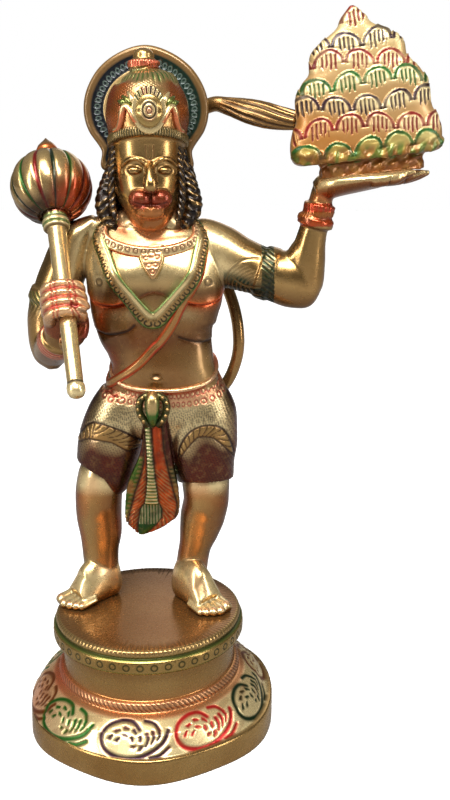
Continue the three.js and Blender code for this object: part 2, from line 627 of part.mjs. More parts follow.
const mountainSeat = vector(place(150, -8, 322));
const moundShape = [
  [0.07, 0.88], [0.09, 0.96], [0.14, 1], [0.22, 0.99], [0.3, 0.94], [0.36, 0.885], [0.49, 0.865],
  [0.54, 0.83], [0.6, 0.745], [0.65, 0.645], [0.76, 0.6], [0.83, 0.43], [0.89, 0.225], [0.95, 0.135],
  [1, 0.02],
];

function moundHalf(share) {
  const next = Math.max(1, moundShape.findIndex(([at]) => at >= share));
  const [low, high] = [moundShape[next - 1], moundShape[next]];
  return mountainHalfWidth * (low[1] + ((high[1] - low[1]) * (share - low[0])) / (high[0] - low[0]));
}

function moundDepth(share) {
  return mountainHalfDepth * (1 - 0.68 * share ** 1.6);
}

function moundSway(share) {
  return 1.2 - 4 * share ** 2;
}

function ontoHand(raw) {
  const axis = new THREE.Vector3(0, 1, 0);
  return moved(raw, (point) => point.applyAxisAngle(axis, -mountainLean * degree).add(mountainSeat));
}

function makeScallop(cu, cv, radius) {
  const rise = radius * 1.05;
  const spot = (u, v, proud) => {
    const share = Math.min(Math.max(v / mountainHeight, 0.075), 0.97);
    const half = moundHalf(share) - 0.4;
    const held = Math.min(Math.max(u, -half), half);
    const skin = moundDepth(share) * (1 - Math.abs(held / (half + 1.5)) ** 3) ** (1 / 3);
    return new THREE.Vector3(held + moundSway(share), -skin - proud, v);
  };
  const arc = Array.from({ length: 5 }, (_, k) => {
    const angle = (Math.PI * k) / 4;
    return [cu + radius * Math.cos(angle), cv + rise * Math.sin(angle) - (k % 4 === 0 ? 3 : 0)];
  });
  const points = [
    ...arc.map(([u, v]) => spot(u, v, -4)),
    ...arc.map(([u, v]) => spot(u, v, v > cv ? scallopRelief : 0.5)),
    spot(cu, cv + rise * 0.3, scallopRelief * 0.75), spot(cu, cv + rise * 0.3, -4),
  ];
  const faces = [];
  for (let k = 0; k < 5; k++) {
    const next = (k + 1) % 5;
    faces.push([k, next, 5 + next], [k, 5 + next, 5 + k], [10, 5 + k, 5 + next], [11, next, k]);
  }
  return { points, faces };
}

function moundSkin(extra) {
  const rows = moundShape.map(([share, wide]) => {
    const depth = moundDepth(share);
    return [moundSway(share), 0, share * mountainHeight, wide * mountainHalfWidth, depth, depth];
  });
  return loft(grown(rows, extra), { sides: 14, square: 0.7 });
}

function makeMountain() {
  const wide = mountainFootHalf;
  const foot = [
    [4, 0, -3, wide, 13, 13], [4, 0, 1, wide, 13, 13], [4, 0, 4, wide - 1, 12, 12],
    [4, 0, mountainFootHeight + 2, wide + 3, 14, 14],
  ];
  const raws = [moundSkin(0), loft(foot, { sides: 12, square: 0.7 })];
  const radius = scallopPitch * 0.47;
  const rowHeight = mountainHeight * 0.139;
  for (let row = 0; row < 7; row++) {
    const cv = mountainFootHeight + 3 + row * rowHeight - row * row * 0.12;
    const share = (cv + radius) / mountainHeight;
    const half = share < 0.99 ? moundHalf(Math.max(share, 0.08)) : radius;
    const shift = row % 2 ? scallopPitch / 2 : 0;
    for (let k = -3; k <= 3; k++) {
      const cu = k * scallopPitch + shift;
      if (Math.abs(cu) < half + radius * 0.2) raws.push(makeScallop(cu, cv, radius));
    }
  }
  return joined(raws.map(ontoHand));
}

// Halo: a plate with a rolled rim, a sunk band and a lip, open where it fits round the crown and head

const haloDepth = 12 * unit;
const haloSide = scaled([
  [0, 403.4], [12, 401], [24.2, 394.8], [33.8, 386], [40.6, 373.6], [42.6, 361], [39.8, 348.6], [31.4, 335.6],
  [27, 321],
]);

function haloOutline(inset) {
  const half = haloSide.map(([x, z]) => [x, z]);
  const right = half.map(([x, z]) => [2.3 * unit + x, z]);
  const left = half.slice(1).reverse().map(([x, z]) => [2.3 * unit - x, z]);
  const ring = [...right, ...left];
  const middle = [2.3 * unit, 360 * unit];
  return ring.map(([x, z]) => {
    const [dx, dz] = [x - middle[0], z - middle[1]];
    const reach = Math.hypot(dx, dz);
    return [middle[0] + (dx * (reach - inset)) / reach, middle[1] + (dz * (reach - inset)) / reach];
  });
}

function slab(outline, front, back) {
  const flat = outline.map(([x, z]) => new THREE.Vector2(x, z));
  if (THREE.ShapeUtils.area(flat) < 0) flat.reverse();
  const count = flat.length;
  const points = [front, back].flatMap((y) => flat.map((spot) => new THREE.Vector3(spot.x, y, spot.y)));
  const faces = [];
  for (const [a, b, c] of THREE.ShapeUtils.triangulateShape(flat, [])) {
    const turn = THREE.ShapeUtils.area([flat[a], flat[b], flat[c]]) < 0;
    const [d, e] = turn ? [c, b] : [b, c];
    faces.push([a, d, e], [a + count, e + count, d + count]);
  }
  for (let i = 0; i < count; i++) {
    const next = (i + 1) % count;
    faces.push([next, i, i + count], [next, i + count, next + count]);
  }
  return { points, faces };
}

function makeHalo() {
  const size = haloRimRadius;
  const rim = haloOutline(size).map(([x, z]) => [x, haloDepth, z, size, size, size]);
  const front = haloDepth - haloThickness / 2;
  const back = haloDepth + haloThickness / 2;
  const plate = slab(haloOutline(size), front, back);
  const lip = slab(haloOutline(2 * size + haloBandWidth), front - haloLip, back);
  return joined([plate, lip, loft(rim, { sides: 5, closed: true, across: [0, 1, 0] })]);
}

// Tail: out of its socket, up behind the body and the halo, ending in a tuft beside the mountain

const tailRows = [
  [9, 28, 163, 1], [14, 36, 160, 1], [26, 43.5, 153.5, 1], [43, 42.5, 153.5, 1], [57, 38, 166, 1],
  [65, 35, 186, 1], [66, 35, 206, 1], [61.5, 39, 228, 1], [51, 43, 252, 1], [38, 46.5, 276, 1],
  [28, 46, 298, 1], [23, 43, 320, 1.02], [24, 37, 342, 1.06], [33, 29, 359, 1.14], [47, 22.5, 366.4, 1.16],
  [58, 18, 365, 1.3], [70, 13, 361.6, 1.75], [82, 8, 358.4, 1.9], [93, 3.5, 356, 1.7], [104, 0, 354, 1.35],
].map(([x, y, z, share]) => [...place(x, y, z), share]);

function tailSkin(extra, rows = tailRows) {
  const thick = rows.map(([x, y, z, share]) => {
    const radius = share > 1.2 ? (tuftRadius * share) / 1.9 : tailRadius * share;
    return [x, y, z, radius + extra, radius + extra, radius + extra];
  });
  return loft(thick, { sides: 8, across: [0, 0.6, 0.8] });
}

function cut(body, raws) {
  return raws.map(solid).reduce((left, tool) => left.subtract(tool), body);
}

function build() {
  const floorSlab = slab([[-200, 0], [200, 0], [200, 1], [-200, 1]], -200, 200);
  const under = moved(floorSlab, (p) => new THREE.Vector3(p.x, p.y, p.z > 0.5 ? seatGap : -60 * unit));
  const bore = turned(boreRows(), { sides: 12 });
  const socket = tailSkin(seatGap, tailRows.slice(0, 3));
  const body = joined([
    loft(torsoRows, { sides: torsoSides, square: torsoSquare, dents: torsoDents }), ...makeHead(),
    ...makeHair(), ...makeRightArm(), ...makeLeftArm(), ...makeDhoti(), ...makeLegs(), ...makeJewels(),
  ]);
  const headSkin = ontoHead(loft(grown(headRows, seatGap), { sides: headSides }));
  return {
    figure: cut(body, [under, bore, socket]),
    halo: cut(makeHalo(), [headSkin, ...makeHair(seatGap)]),
    tail: cut(solid(tailSkin(0)), [ontoHand(moundSkin(seatGap))]),
    mace: makeMace(),
    mountain: cut(makeMountain(), [palmSkin(seatGap), ...makeLeftFingers(seatGap)]),
    plinth: makePlinth(),
  };
}

const pieces = build();
const brass = {
  figure: 0xb8894a, plinth: 0xa98450, halo: 0x6f6a45, tail: 0xa9894f, mace: 0xc2a468, mountain: 0xd8bd84,
};
const statue = new THREE.Group();
for (const [name, body] of Object.entries(pieces)) {
  const finish = new THREE.MeshStandardMaterial({ color: brass[name], roughness: 0.3, metalness: 1 });
  const mesh = new THREE.Mesh(geometryOf(body), finish);
  mesh.name = name;
  if (name !== 'plinth') mesh.position.z = plinthHeight;
  statue.add(mesh);
}

export default statue;
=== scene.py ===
# Brass hanuman statue for Blender 4.5. Shapes are worked out in millimetres; the figure's own tables count
# from its soles, and every finished mesh is in metres in the frame's own place.
import math

import bpy
import numpy as np
from mathutils import Matrix


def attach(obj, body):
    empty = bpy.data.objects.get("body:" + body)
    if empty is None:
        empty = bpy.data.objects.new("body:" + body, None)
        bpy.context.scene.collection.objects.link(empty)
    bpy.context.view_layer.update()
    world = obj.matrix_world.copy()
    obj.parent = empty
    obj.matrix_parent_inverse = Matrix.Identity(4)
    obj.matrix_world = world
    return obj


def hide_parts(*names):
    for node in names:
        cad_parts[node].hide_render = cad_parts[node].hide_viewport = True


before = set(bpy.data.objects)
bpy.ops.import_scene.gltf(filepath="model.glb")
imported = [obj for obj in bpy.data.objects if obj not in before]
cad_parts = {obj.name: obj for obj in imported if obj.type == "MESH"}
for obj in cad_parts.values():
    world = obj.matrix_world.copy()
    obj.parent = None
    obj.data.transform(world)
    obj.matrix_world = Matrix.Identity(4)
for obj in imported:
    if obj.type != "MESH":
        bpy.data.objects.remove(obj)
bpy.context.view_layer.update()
scene = bpy.context.scene
soleLevel = 86.5  # the plinth's top
mm = 0.001


def unit(v):
    # v / |v|
    return v / np.maximum(np.linalg.norm(v, axis=-1, keepdims=True), 1e-9)


def eased(rows, spacing):
    # Monotone cubic through the rows by distance s: slope m is the harmonic mean of the two spans' slopes, 0
    # at a turn; p = h00 a + h10 d m0 + h01 b + h11 d m1, read every `spacing` mm
    rows = np.array([list(r) + [0] * (8 - len(r)) for r in rows], float)
    d = np.maximum(np.linalg.norm(np.diff(rows[:, :6], axis=0), axis=1), 1e-3)
    s = np.concatenate([[0], np.cumsum(d)])
    slope = np.diff(rows, axis=0) / d[:, None]
    m = np.zeros_like(rows)
    both = slope[:-1] * slope[1:]
    m[1:-1] = np.where(both > 0, 2 * both / np.where(both > 0, slope[:-1] + slope[1:], 1), 0)
    m[0], m[-1] = slope[0], slope[-1]
    at = np.linspace(0, s[-1], max(4, int(s[-1] / spacing)))
    i = np.clip(np.searchsorted(s, at, side="right") - 1, 0, len(d) - 1)
    t = ((at - s[i]) / d[i])[:, None]
    h = d[i][:, None]
    return ((1 + 2 * t) * (1 - t) ** 2 * rows[i] + t * (1 - t) ** 2 * h * m[i]
            + t * t * (3 - 2 * t) * rows[i + 1] + t * t * (t - 1) * h * m[i + 1])


def curved(rows, steps, closed=False):
    # Catmull-Rom: 0.5 (2b + (c-a) t + (2a-5b+4c-d) t^2 + (3b-a-3c+d) t^3)
    rows = np.asarray(rows, float)
    count = len(rows)
    spot = np.arange((count if closed else count - 1) * steps) / steps
    i = spot.astype(int)
    t = (spot - i)[:, None]
    a, b, c, d = [rows[(i + k) % count if closed else np.clip(i + k, 0, count - 1)] for k in (-1, 0, 1, 2)]
    out = 0.5 * (2 * b + (c - a) * t + (2 * a - 5 * b + 4 * c - d) * t ** 2 + (3 * b - a - 3 * c + d) * t ** 3)
    return out if closed else np.vstack([out, rows[-1:]])


def evenly(line, spacing):
    # The same line read every `spacing` mm of its length
    s = np.concatenate([[0], np.cumsum(np.linalg.norm(np.diff(line[:, :3], axis=0), axis=1))])
    at = np.linspace(0, s[-1], max(4, int(s[-1] / spacing)))
    return np.stack([np.interp(at, s, line[:, n]) for n in range(line.shape[1])], axis=1), at


def power(value, p):
    # |value|^p with the sign kept
    return np.sign(value) * np.abs(value) ** p


def loft(rows, across=(1, 0, 0), sides=96, square=1.0, flutes=0, fluteDepth=0.0):
    # Oval sections on a line: point = row + side u + front v + along w, with u = half cos^q, v = front or
    # back sin^q, w = lean cos^q - rake sin^q, and u, v drawn in by the flutes
    rows = np.array([list(r) + [0] * (8 - len(r)) for r in rows], float)
    p = rows[:, :3]
    along = unit(np.vstack([p[1:], p[-1:]]) - np.vstack([p[:1], p[:-1]]))
    side = np.broadcast_to(np.asarray(across, float), p.shape)
    side = unit(side - along * np.sum(side * along, axis=1, keepdims=True))
    front = np.cross(side, along)
    angle = 2 * np.pi * np.arange(sides) / sides
    ca, sa = power(np.cos(angle), square), power(np.sin(angle), square)
    flute = 1 - fluteDepth * (0.5 + 0.5 * np.cos(flutes * angle))
    u = rows[:, 3:4] * ca * flute
    v = np.where(sa > 0, rows[:, 4:5], rows[:, 5:6]) * sa * flute
    w = rows[:, 7:8] * ca - rows[:, 6:7] * sa
    return (p[:, None] + side[:, None] * u[..., None] + front[:, None] * v[..., None]
            + along[:, None] * w[..., None])


def shellOf(grid, closed=False):
    # Quads over a grid of rows and sides, with a fan to the middle at each open end, facing outwards
    count, sides = grid.shape[:2]
    verts = grid.reshape(-1, 3)
    i, j = np.meshgrid(np.arange(count if closed else count - 1), np.arange(sides), indexing="ij")
    a, b = i * sides + j, i * sides + (j + 1) % sides
    c, d = (i + 1) % count * sides + j, (i + 1) % count * sides + (j + 1) % sides
    quads = np.stack([a, b, d, c], axis=-1).reshape(-1, 4)
    tris = np.zeros((0, 3), int)
    if not closed:
        k = np.arange(sides)
        last = (count - 1) * sides
        hubs = len(verts) + np.array([0, 1])
        verts = np.vstack([verts, grid[0].mean(0), grid[-1].mean(0)])
        low = np.stack([np.full(sides, hubs[0]), (k + 1) % sides, k], axis=1)
        high = np.stack([np.full(sides, hubs[1]), last + k, last + (k + 1) % sides], axis=1)
        tris = np.vstack([low, high])
    p, q, r, s = [verts[quads[:, n]] for n in range(4)]
    volume = np.sum(p * np.cross(q, r)) + np.sum(p * np.cross(r, s))
    if volume < 0:
        quads, tris = quads[:, ::-1], tris[:, ::-1]
    return verts, quads, tris


def together(shells):
    # Several shells in one list of points and faces
    verts, quads, tris, start = [], [], [], 0
    for v, q, t in shells:
        verts.append(v)
        quads.append(q + start)
        tris.append(t + start)
        start += len(v)
    return np.vstack(verts), np.vstack(quads), np.vstack(tris)


def meshOf(name, verts, quads, tris):
    # A mesh in metres from points in millimetres
    mesh = bpy.data.meshes.new(name)
    loops = np.concatenate([quads.ravel(), tris.ravel()]).astype(np.int32)
    totals = np.concatenate([np.full(len(quads), 4), np.full(len(tris), 3)])
    mesh.vertices.add(len(verts))
    mesh.loops.add(len(loops))
    mesh.polygons.add(len(totals))
    mesh.vertices.foreach_set("co", (np.asarray(verts) * mm).astype(np.float32).ravel())
    mesh.loops.foreach_set("vertex_index", loops)
    mesh.polygons.foreach_set("loop_start", (np.cumsum(totals) - totals).astype(np.int32))
    mesh.polygons.foreach_set("use_smooth", np.ones(len(totals), bool))
    mesh.update(calc_edges=True)
    return mesh


def neighbourMean(verts, quads, tris):
    # The mean of each point's neighbours along the edges
    ends = np.concatenate([quads[:, [n, (n + 1) % 4]] for n in range(4)]
                          + [tris[:, [n, (n + 1) % 3]] for n in range(3)])
    ends = np.concatenate([ends, ends[:, ::-1]])
    count = np.maximum(np.bincount(ends[:, 0], minlength=len(verts)), 1)
    return lambda value: np.stack([np.bincount(ends[:, 0], value[ends[:, 1], n], len(verts)) / count
                                   for n in range(value.shape[1])], axis=1)


def softened(verts, quads, tris, rounds, share=0.5):
    # v <- v + share (mean of neighbours - v)
    mean = neighbourMean(verts, quads, tris)
    for _ in range(rounds):
        verts = verts + share * (mean(verts) - verts)
    return verts


def fused(shells, voxel, rounds=2):
    # One skin round all the shells by a voxel remesh, then softened
    rough = bpy.data.objects.new("rough", meshOf("rough", *together(shells)))
    scene.collection.objects.link(rough)
    skin = rough.modifiers.new("skin", "REMESH")
    skin.mode = "VOXEL"
    skin.voxel_size = voxel * mm
    mesh = bpy.data.meshes.new_from_object(rough.evaluated_get(bpy.context.evaluated_depsgraph_get()))
    verts = np.zeros(len(mesh.vertices) * 3, np.float32)
    mesh.vertices.foreach_get("co", verts)
    quads = np.zeros(len(mesh.loops), np.int32)
    mesh.loops.foreach_get("vertex_index", quads)
    bpy.data.objects.remove(rough)
    bpy.data.meshes.remove(mesh)
    verts, quads = verts.reshape(-1, 3).astype(float) / mm, quads.reshape(-1, 4)
    tris = np.zeros((0, 3), int)
    return softened(verts, quads, tris, rounds), quads, tris


def normalsOf(verts, quads, tris):
    # Each point's normal: the sum of its faces' area vectors
    p, q, r, s = [verts[quads[:, n]] for n in range(4)]
    area = np.cross(r - p, s - q)
    out = np.stack([sum(np.bincount(quads[:, n], area[:, k], len(verts)) for n in range(4))
                    for k in range(3)], axis=1)
    if len(tris):
        area = np.cross(verts[tris[:, 1]] - verts[tris[:, 0]], verts[tris[:, 2]] - verts[tris[:, 0]])
        out += np.stack([sum(np.bincount(tris[:, n], area[:, k], len(verts)) for n in range(3))
                         for k in range(3)], axis=1)
    return unit(out)


def wave(x):
    # 0.5 + 0.5 cos(2 pi x): 1 at every whole x, 0 half way between
    return 0.5 + 0.5 * np.cos(2 * np.pi * x)


def line(distance, half):
    # 1 on the line, falling to 0 at one and a half times its half width
    return np.clip(1.5 - np.abs(distance) / half, 0, 1)


def bell(x, width):
    # e^(-(x / width)^2)
    return np.exp(-(x / width) ** 2)


def patch(x, z, wide, tall):
    # e^(-(x / wide)^2 - (z / tall)^2)
    return np.exp(-(x / wide) ** 2 - (z / tall) ** 2)


def step(x, soft=0.6):
    # 0 below, 1 above, and a straight slope `soft` wide about x = 0
    return np.clip(0.5 + x / soft, 0, 1)


def ringPunch(u, v, radius, width=0.55):
    # A struck ring: a groove round `radius` about u = v = 0
    return line(np.hypot(u, v) - radius, width)


def nearLine(points, route):
    # Distance from each point to the line through `route`, and how far along it the nearest place lies
    route = np.asarray(route, float)
    best = np.full(len(points), np.inf)
    where = np.zeros(len(points))
    start = 0.0
    for a, b in zip(route[:-1], route[1:]):
        way = b - a
        size = np.linalg.norm(way)
        t = np.clip((points - a) @ way / size ** 2, 0, 1)
        far = np.linalg.norm(points - a - t[:, None] * way, axis=1)
        where = np.where(far < best, start + t * size, where)
        best = np.minimum(far, best)
        start += size
    return best, where


def nearCurve(points, route, steps=4):
    # Distance from each point to the smooth line through `route`
    return nearLine(points, curved(route, steps))[0]


def ticked(x, pitch, half):
    # Lines `pitch` apart, at the middle of each step of x
    return line((x / pitch % 1 - 0.5) * pitch, half)


lacquerAndPaintedLight = {  # washes of colour, and the tones laid as painted shade and painted highlights, as seen by eye (red, green, blue)
    "orange": (0.86, 0.36, 0.12), "red": (0.80, 0.13, 0.14), "pink": (0.92, 0.50, 0.38),
    "green": (0.12, 0.42, 0.12), "darkGreen": (0.05, 0.22, 0.12), "blueBlack": (0.025, 0.075, 0.11),
    "steel": (0.40, 0.46, 0.42), "maroon": (0.31, 0.11, 0.10), "purple": (0.22, 0.09, 0.16),
    "cream": (0.97, 0.88, 0.66), "brown": (0.52, 0.27, 0.09), "hair": (0.09, 0.06, 0.045),
    "gold": (0.72, 0.58, 0.36), "brick": (0.53, 0.18, 0.08), "rust": (0.80, 0.30, 0.08),
    "crimson": (0.60, 0.11, 0.09), "umber": (0.33, 0.205, 0.095), "amber": (0.60, 0.37, 0.15),
    "saffron": (0.80, 0.52, 0.20), "olive": (0.60, 0.55, 0.24), "ink": (0.02, 0.035, 0.045),
}


def wash(name):
    # From what the eye sees to linear light: c^2.2
    return np.array(lacquerAndPaintedLight[name]) ** 2.2


class Paint:
    # Colour and depth of lacquer at each point, with the painted shade and painted highlights laid the same
    # way, and how much dark wax lies in the cuts

    def __init__(self, shape):
        self.colour = np.zeros(shape)[..., None] + wash("gold")
        self.cover = np.zeros(shape)
        self.groove = np.zeros(shape)

    def lay(self, name, share):
        # colour <- colour (1 - share) + wash share, cover <- cover (1 - share) + share
        share = np.clip(share, 0, 1) + np.zeros_like(self.cover)
        self.colour = self.colour * (1 - share)[..., None] + wash(name) * share[..., None]
        self.cover = np.clip(self.cover * (1 - share) + share, 0, 1)

    def coats(self, *coats):
        for name, share in coats:
            self.lay(name, share)

    def cut(self, share):
        self.groove = np.maximum(self.groove, np.clip(share, 0, 1))

    def listed(self, hubs=None):
        # A grid's paint as a list of points, and that of the hubs at its open ends: bare, or as beside them
        bare = Paint(2)
        for name in ("colour", "cover", "groove"):
            value = getattr(self, name)
            value = value.reshape(-1, *value.shape[2:])
            more = {None: [], "bare": [getattr(bare, name)], "beside": [value[:1], value[-1:]]}[hubs]
            setattr(self, name, np.concatenate([value, *more]))
        return self


class Skin(Paint):
    # A shell with its lacquer and its painted shade and highlights, its points' places and outward ways, and
    # the relief still to be raised on it

    def __init__(self, shell):
        super().__init__(len(shell[0]))
        self.verts, self.quads, self.tris = shell
        self.normal = normalsOf(*shell)
        self.rise = np.zeros(len(self.verts))

    def etch(self, mask, deep=0.0, wax=0.0, **shares):
        # The skin sinks by `deep`, wax lies in the cut, and each wash covers its share of the mask
        self.rise -= deep * mask
        self.cut(mask * wax)
        for name, share in shares.items():
            self.lay(name, mask * share)

    def raised(self):
        # p <- p + normal relief
        return self.verts + self.normal * self.rise[:, None], self.quads, self.tris


def blotch(points, size, seed):
    # Smooth random patches from -1 to 1: a sum of six sine waves in random directions
    rng = np.random.default_rng(seed)
    out = np.zeros(points.shape[:-1])
    for _ in range(6):
        way = unit(rng.normal(size=3)) * rng.uniform(0.7, 1.5) * 2 * np.pi / size
        out += np.sin(points @ way + rng.uniform(0, 6.28))
    return out / 2.6


def nodeMaker(tree):
    # Gives a function that adds a node, feeds its sockets with values or other outputs, and gives its outputs
    def add(kind, feeds, **settings):
        made = tree.nodes.new(kind)
        for key, value in settings.items():
            setattr(made, key, value)
        for key, value in feeds.items():
            socket = made.inputs[key]
            if isinstance(value, bpy.types.NodeSocket):
                tree.links.new(value, socket)
            elif socket.type == "RGBA":
                socket.default_value = (*value, 1)
            else:
                socket.default_value = value
        return made.outputs

    return add


def rampWith(add, value, low, high, start=0.0, end=1.0):
    # start + (end - start) (value - low) / (high - low), held at both ends
    feeds = {"Value": value, "From Min": low, "From Max": high, "To Min": start, "To Max": end}
    return add("ShaderNodeMapRange", feeds)["Result"]


def mixWith(add, share, a, b):
    # a (1 - share) + b share, for colours
    return add("ShaderNodeMix", {"Factor": share, "A": a, "B": b}, data_type="RGBA")["Result"]


def brassFinish(name, look):
    # Brass that varies over the cast, with lacquer, painted shade and painted highlights where the attribute
    # lies, worn off in spots, and wax in cuts
    mat = bpy.data.materials.new(name)
    mat.use_nodes = True
    mat.node_tree.nodes.clear()
    add = nodeMaker(mat.node_tree)
    place = add("ShaderNodeTexCoord", {})["Object"]
    paint = add("ShaderNodeAttribute", {}, attribute_name="lacquerAndPaintedLight")
    wax = add("ShaderNodeAttribute", {}, attribute_name="wax")["Fac"]

    def noise(scale, detail, way=(1, 1, 1)):
        spot = add("ShaderNodeMapping", {"Vector": place, "Scale": way})["Vector"]
        return add("ShaderNodeTexNoise", {"Vector": spot, "Scale": scale, "Detail": detail,
                                          "Roughness": 0.6})["Fac"]

    def times(a, b, kind="MULTIPLY"):
        return add("ShaderNodeMath", {0: a, 1: b}, operation=kind)["Value"]

    fine = noise(look["fineScale"], 3)
    base = mixWith(add, rampWith(add, noise(look["castScale"], 5), 0.3, 0.7), look["deep"], look["bright"])
    base = mixWith(add, rampWith(add, fine, 0.58, 0.76, 0, look["specks"]), base, look["patina"])
    worn = times(paint["Alpha"], rampWith(add, noise(look["wearScale"], 4), 0.2, 0.5, look["wear"], 1))
    base = mixWith(add, worn, base, paint["Color"])
    base = mixWith(add, times(wax, look["waxDepth"]), base, look["patina"])
    grain = add("ShaderNodeBump", {"Strength": look["bump"], "Distance": look["bumpDepth"],
                                   "Height": noise(look["brush"], 3, look["brushWay"])})["Normal"]
    shader = add("ShaderNodeBsdfPrincipled", {
        "Base Color": base, "Metallic": times(1, times(worn, look["paintDulls"]), "SUBTRACT"),
        "Roughness": times(rampWith(add, fine, 0.2, 0.8, *look["rough"]), times(wax, look["waxDulls"]), "ADD"),
        "Normal": grain, "Coat Weight": look["coat"], "Coat Roughness": look["coatRough"]})
    add("ShaderNodeOutputMaterial", {"Surface": shader["BSDF"]})
    return mat


brass = {
    "bright": (0.60, 0.39, 0.15), "deep": (0.36, 0.185, 0.052), "patina": (0.026, 0.013, 0.006),
    "castScale": 14, "fineScale": 320, "specks": 0.12, "wearScale": 260, "wear": 0.72, "waxDepth": 0.85,
    "paintDulls": 0.35, "waxDulls": 0.25, "rough": (0.2, 0.3), "bump": 0.05, "bumpDepth": 0.0004,
    "brush": 700, "brushWay": (1, 1, 0.12), "coat": 0.4, "coatRough": 0.2,
}


thinning = {  # thousands of triangles left in each piece, and how a drawn place is weighed
    "most": {"plinthBrass": 150, "figureBody": 196, "figureDhoti": 150, "figureLegs": 80, "figureHead": 170,
             "haloBrass": 50, "tailBrass": 28, "maceBrass": 70, "mountainBrass": 95},
    "sharp": 9.0, "cover": 0.3, "wax": 0.5, "levels": 6, "hold": 0.02,
}


def thinned(mesh, keep, share):
    # Collapses edges until `share` of the triangles is left, first where nothing is drawn: keep 0 marks
    # a place that may go, 1 one that stays as long as there are others
    whole = bpy.data.objects.new("whole", mesh)
    scene.collection.objects.link(whole)
    mesh.transform(Matrix.Scale(1 / mm, 4))
    group = whole.vertex_groups.new(name="free")
    level = np.round((1 - keep) * thinning["levels"]).astype(int)
    for n in range(1, thinning["levels"] + 1):
        group.add(np.flatnonzero(level == n).tolist(), n / thinning["levels"], "REPLACE")
    fewer = whole.modifiers.new("fewer", "DECIMATE")
    fewer.ratio = share
    fewer.vertex_group = "free"
    fewer.vertex_group_factor = thinning["hold"]
    out = bpy.data.meshes.new_from_object(whole.evaluated_get(bpy.context.evaluated_depsgraph_get()))
    bpy.data.objects.remove(whole)
    bpy.data.meshes.remove(mesh)
    out.transform(Matrix.Scale(mm, 4))
    out.polygons.foreach_set("use_smooth", np.ones(len(out.polygons), bool))
    return out


def finished(name, shell, paint, material, look, node):
    # Puts a piece in its place in metres, with its lacquer, its painted shade and highlights, and wax, on the
    # root body.
    # Where colour, cover or wax differ from the neighbours' mean the points are kept
    mesh = meshOf("fine", *shell)
    colour = np.concatenate([paint.colour, paint.cover[:, None]], axis=1).astype(np.float32)
    mesh.attributes.new("lacquerAndPaintedLight", "FLOAT_COLOR", "POINT").data.foreach_set("color", colour.ravel())
    mesh.attributes.new("wax", "FLOAT", "POINT").data.foreach_set("value", paint.groove.astype(np.float32))
    drawn = np.concatenate([colour[:, :3] * colour[:, 3:], colour[:, 3:] * thinning["cover"],
                            paint.groove[:, None] * thinning["wax"]], axis=1)
    mean = neighbourMean(*shell)
    change = np.abs(drawn - mean(drawn)).sum(axis=1)[:, None] * thinning["sharp"]
    total = len(shell[1]) * 2 + len(shell[2])
    mesh = thinned(mesh, np.clip(mean(mean(change)), 0, 1)[:, 0], thinning["most"][name] * 1000 / total)
    mesh.name = name
    mesh.materials.append(brassFinish(material, look))
    piece = bpy.data.objects.new(name, mesh)
    scene.collection.objects.link(piece)
    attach(piece, "root")
    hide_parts(node)
    print(name, total, "triangles thinned to", len(mesh.polygons))


view = {"place": (0.056, -0.604, 0.393), "tilt": 76.5, "lens": 38.7, "sensor": 36}


def makeCamera():
    # Looks down a little from in front, as the photo was taken
    lens = bpy.data.cameras.new("camera")
    lens.sensor_fit = "VERTICAL"
    lens.sensor_height = view["sensor"]
    lens.lens = view["lens"]
    camera = bpy.data.objects.new("camera", lens)
    camera.location = view["place"]
    camera.rotation_euler = (math.radians(view["tilt"]), 0, 0)
    scene.collection.objects.link(camera)
    scene.camera = camera


studio = {
    "lamps": [  # name, place, width, height, watts
        ("left", (-0.85, -0.6, 0.62), 0.14, 0.9, 5), ("right", (1.0, -0.5, 0.62), 0.14, 0.9, 4),
        ("front", (0.1, -0.85, 1.2), 0.7, 0.35, 13), ("back", (0.3, 1.2, 0.9), 1.0, 0.6, 2),
    ],
    "aims": {"front": 0.35}, "aim": 0.3,  # the height on the statue's axis that a lamp is turned to
    "sun": {"from": (-0.3, -0.55, 1.0), "angle": 34, "strength": 2.0},
    "floor": {"size": 20.0, "pale": 0.9, "glow": 0.46, "mirrored": (0.3, 0.5), "reach": (0.35, 1.1)},
    "world": {"sky": (0.2, 0.2, 0.19), "wall": (0.02, 0.016, 0.01), "seen": (1.0, 1.0, 1.0),
              "rise": (-0.1, 0.75)},
    "gamma": 0.93,
}


def makeLight(name, kind, place, way, watts, **settings):
    # A lamp that shines against `way`, the direction from its aim to itself
    data = bpy.data.lights.new(name, kind)
    data.energy = watts
    for key, value in settings.items():
        setattr(data, key, value)
    lamp = bpy.data.objects.new(name, data)
    lamp.location = place
    lamp.rotation_euler = (math.atan2(math.hypot(way[0], way[1]), way[2]), 0, math.atan2(way[0], -way[1]))
    scene.collection.objects.link(lamp)


def makeFloor(look):
    # Pale to the eye; where the brass mirrors it, darker near the statue than further off
    size = look["size"]
    floor = bpy.data.meshes.new("floor")
    floor.from_pydata([(-size, -size, 0), (size, -size, 0), (size, size, 0), (-size, size, 0)], [],
                      [(0, 1, 2, 3)])
    pale = bpy.data.materials.new("pale floor")
    pale.use_nodes = True
    pale.node_tree.nodes.clear()
    add = nodeMaker(pale.node_tree)
    spot = add("ShaderNodeTexCoord", {})["Object"]
    away = add("ShaderNodeVectorMath", {0: spot}, operation="LENGTH")["Value"]
    seen = add("ShaderNodeLightPath", {})["Is Camera Ray"]
    mirrored = rampWith(add, away, *look["reach"], *look["mirrored"])
    shader = add("ShaderNodeBsdfPrincipled", {
        "Base Color": rampWith(add, seen, 0, 1, mirrored, look["pale"]), "Roughness": 0.9,
        "Emission Color": (1, 1, 1), "Emission Strength": rampWith(add, seen, 0, 1, 0, look["glow"])})
    add("ShaderNodeOutputMaterial", {"Surface": shader["BSDF"]})
    floor.materials.append(pale)
    ground = bpy.data.objects.new("floor", floor)
    scene.collection.objects.link(ground)


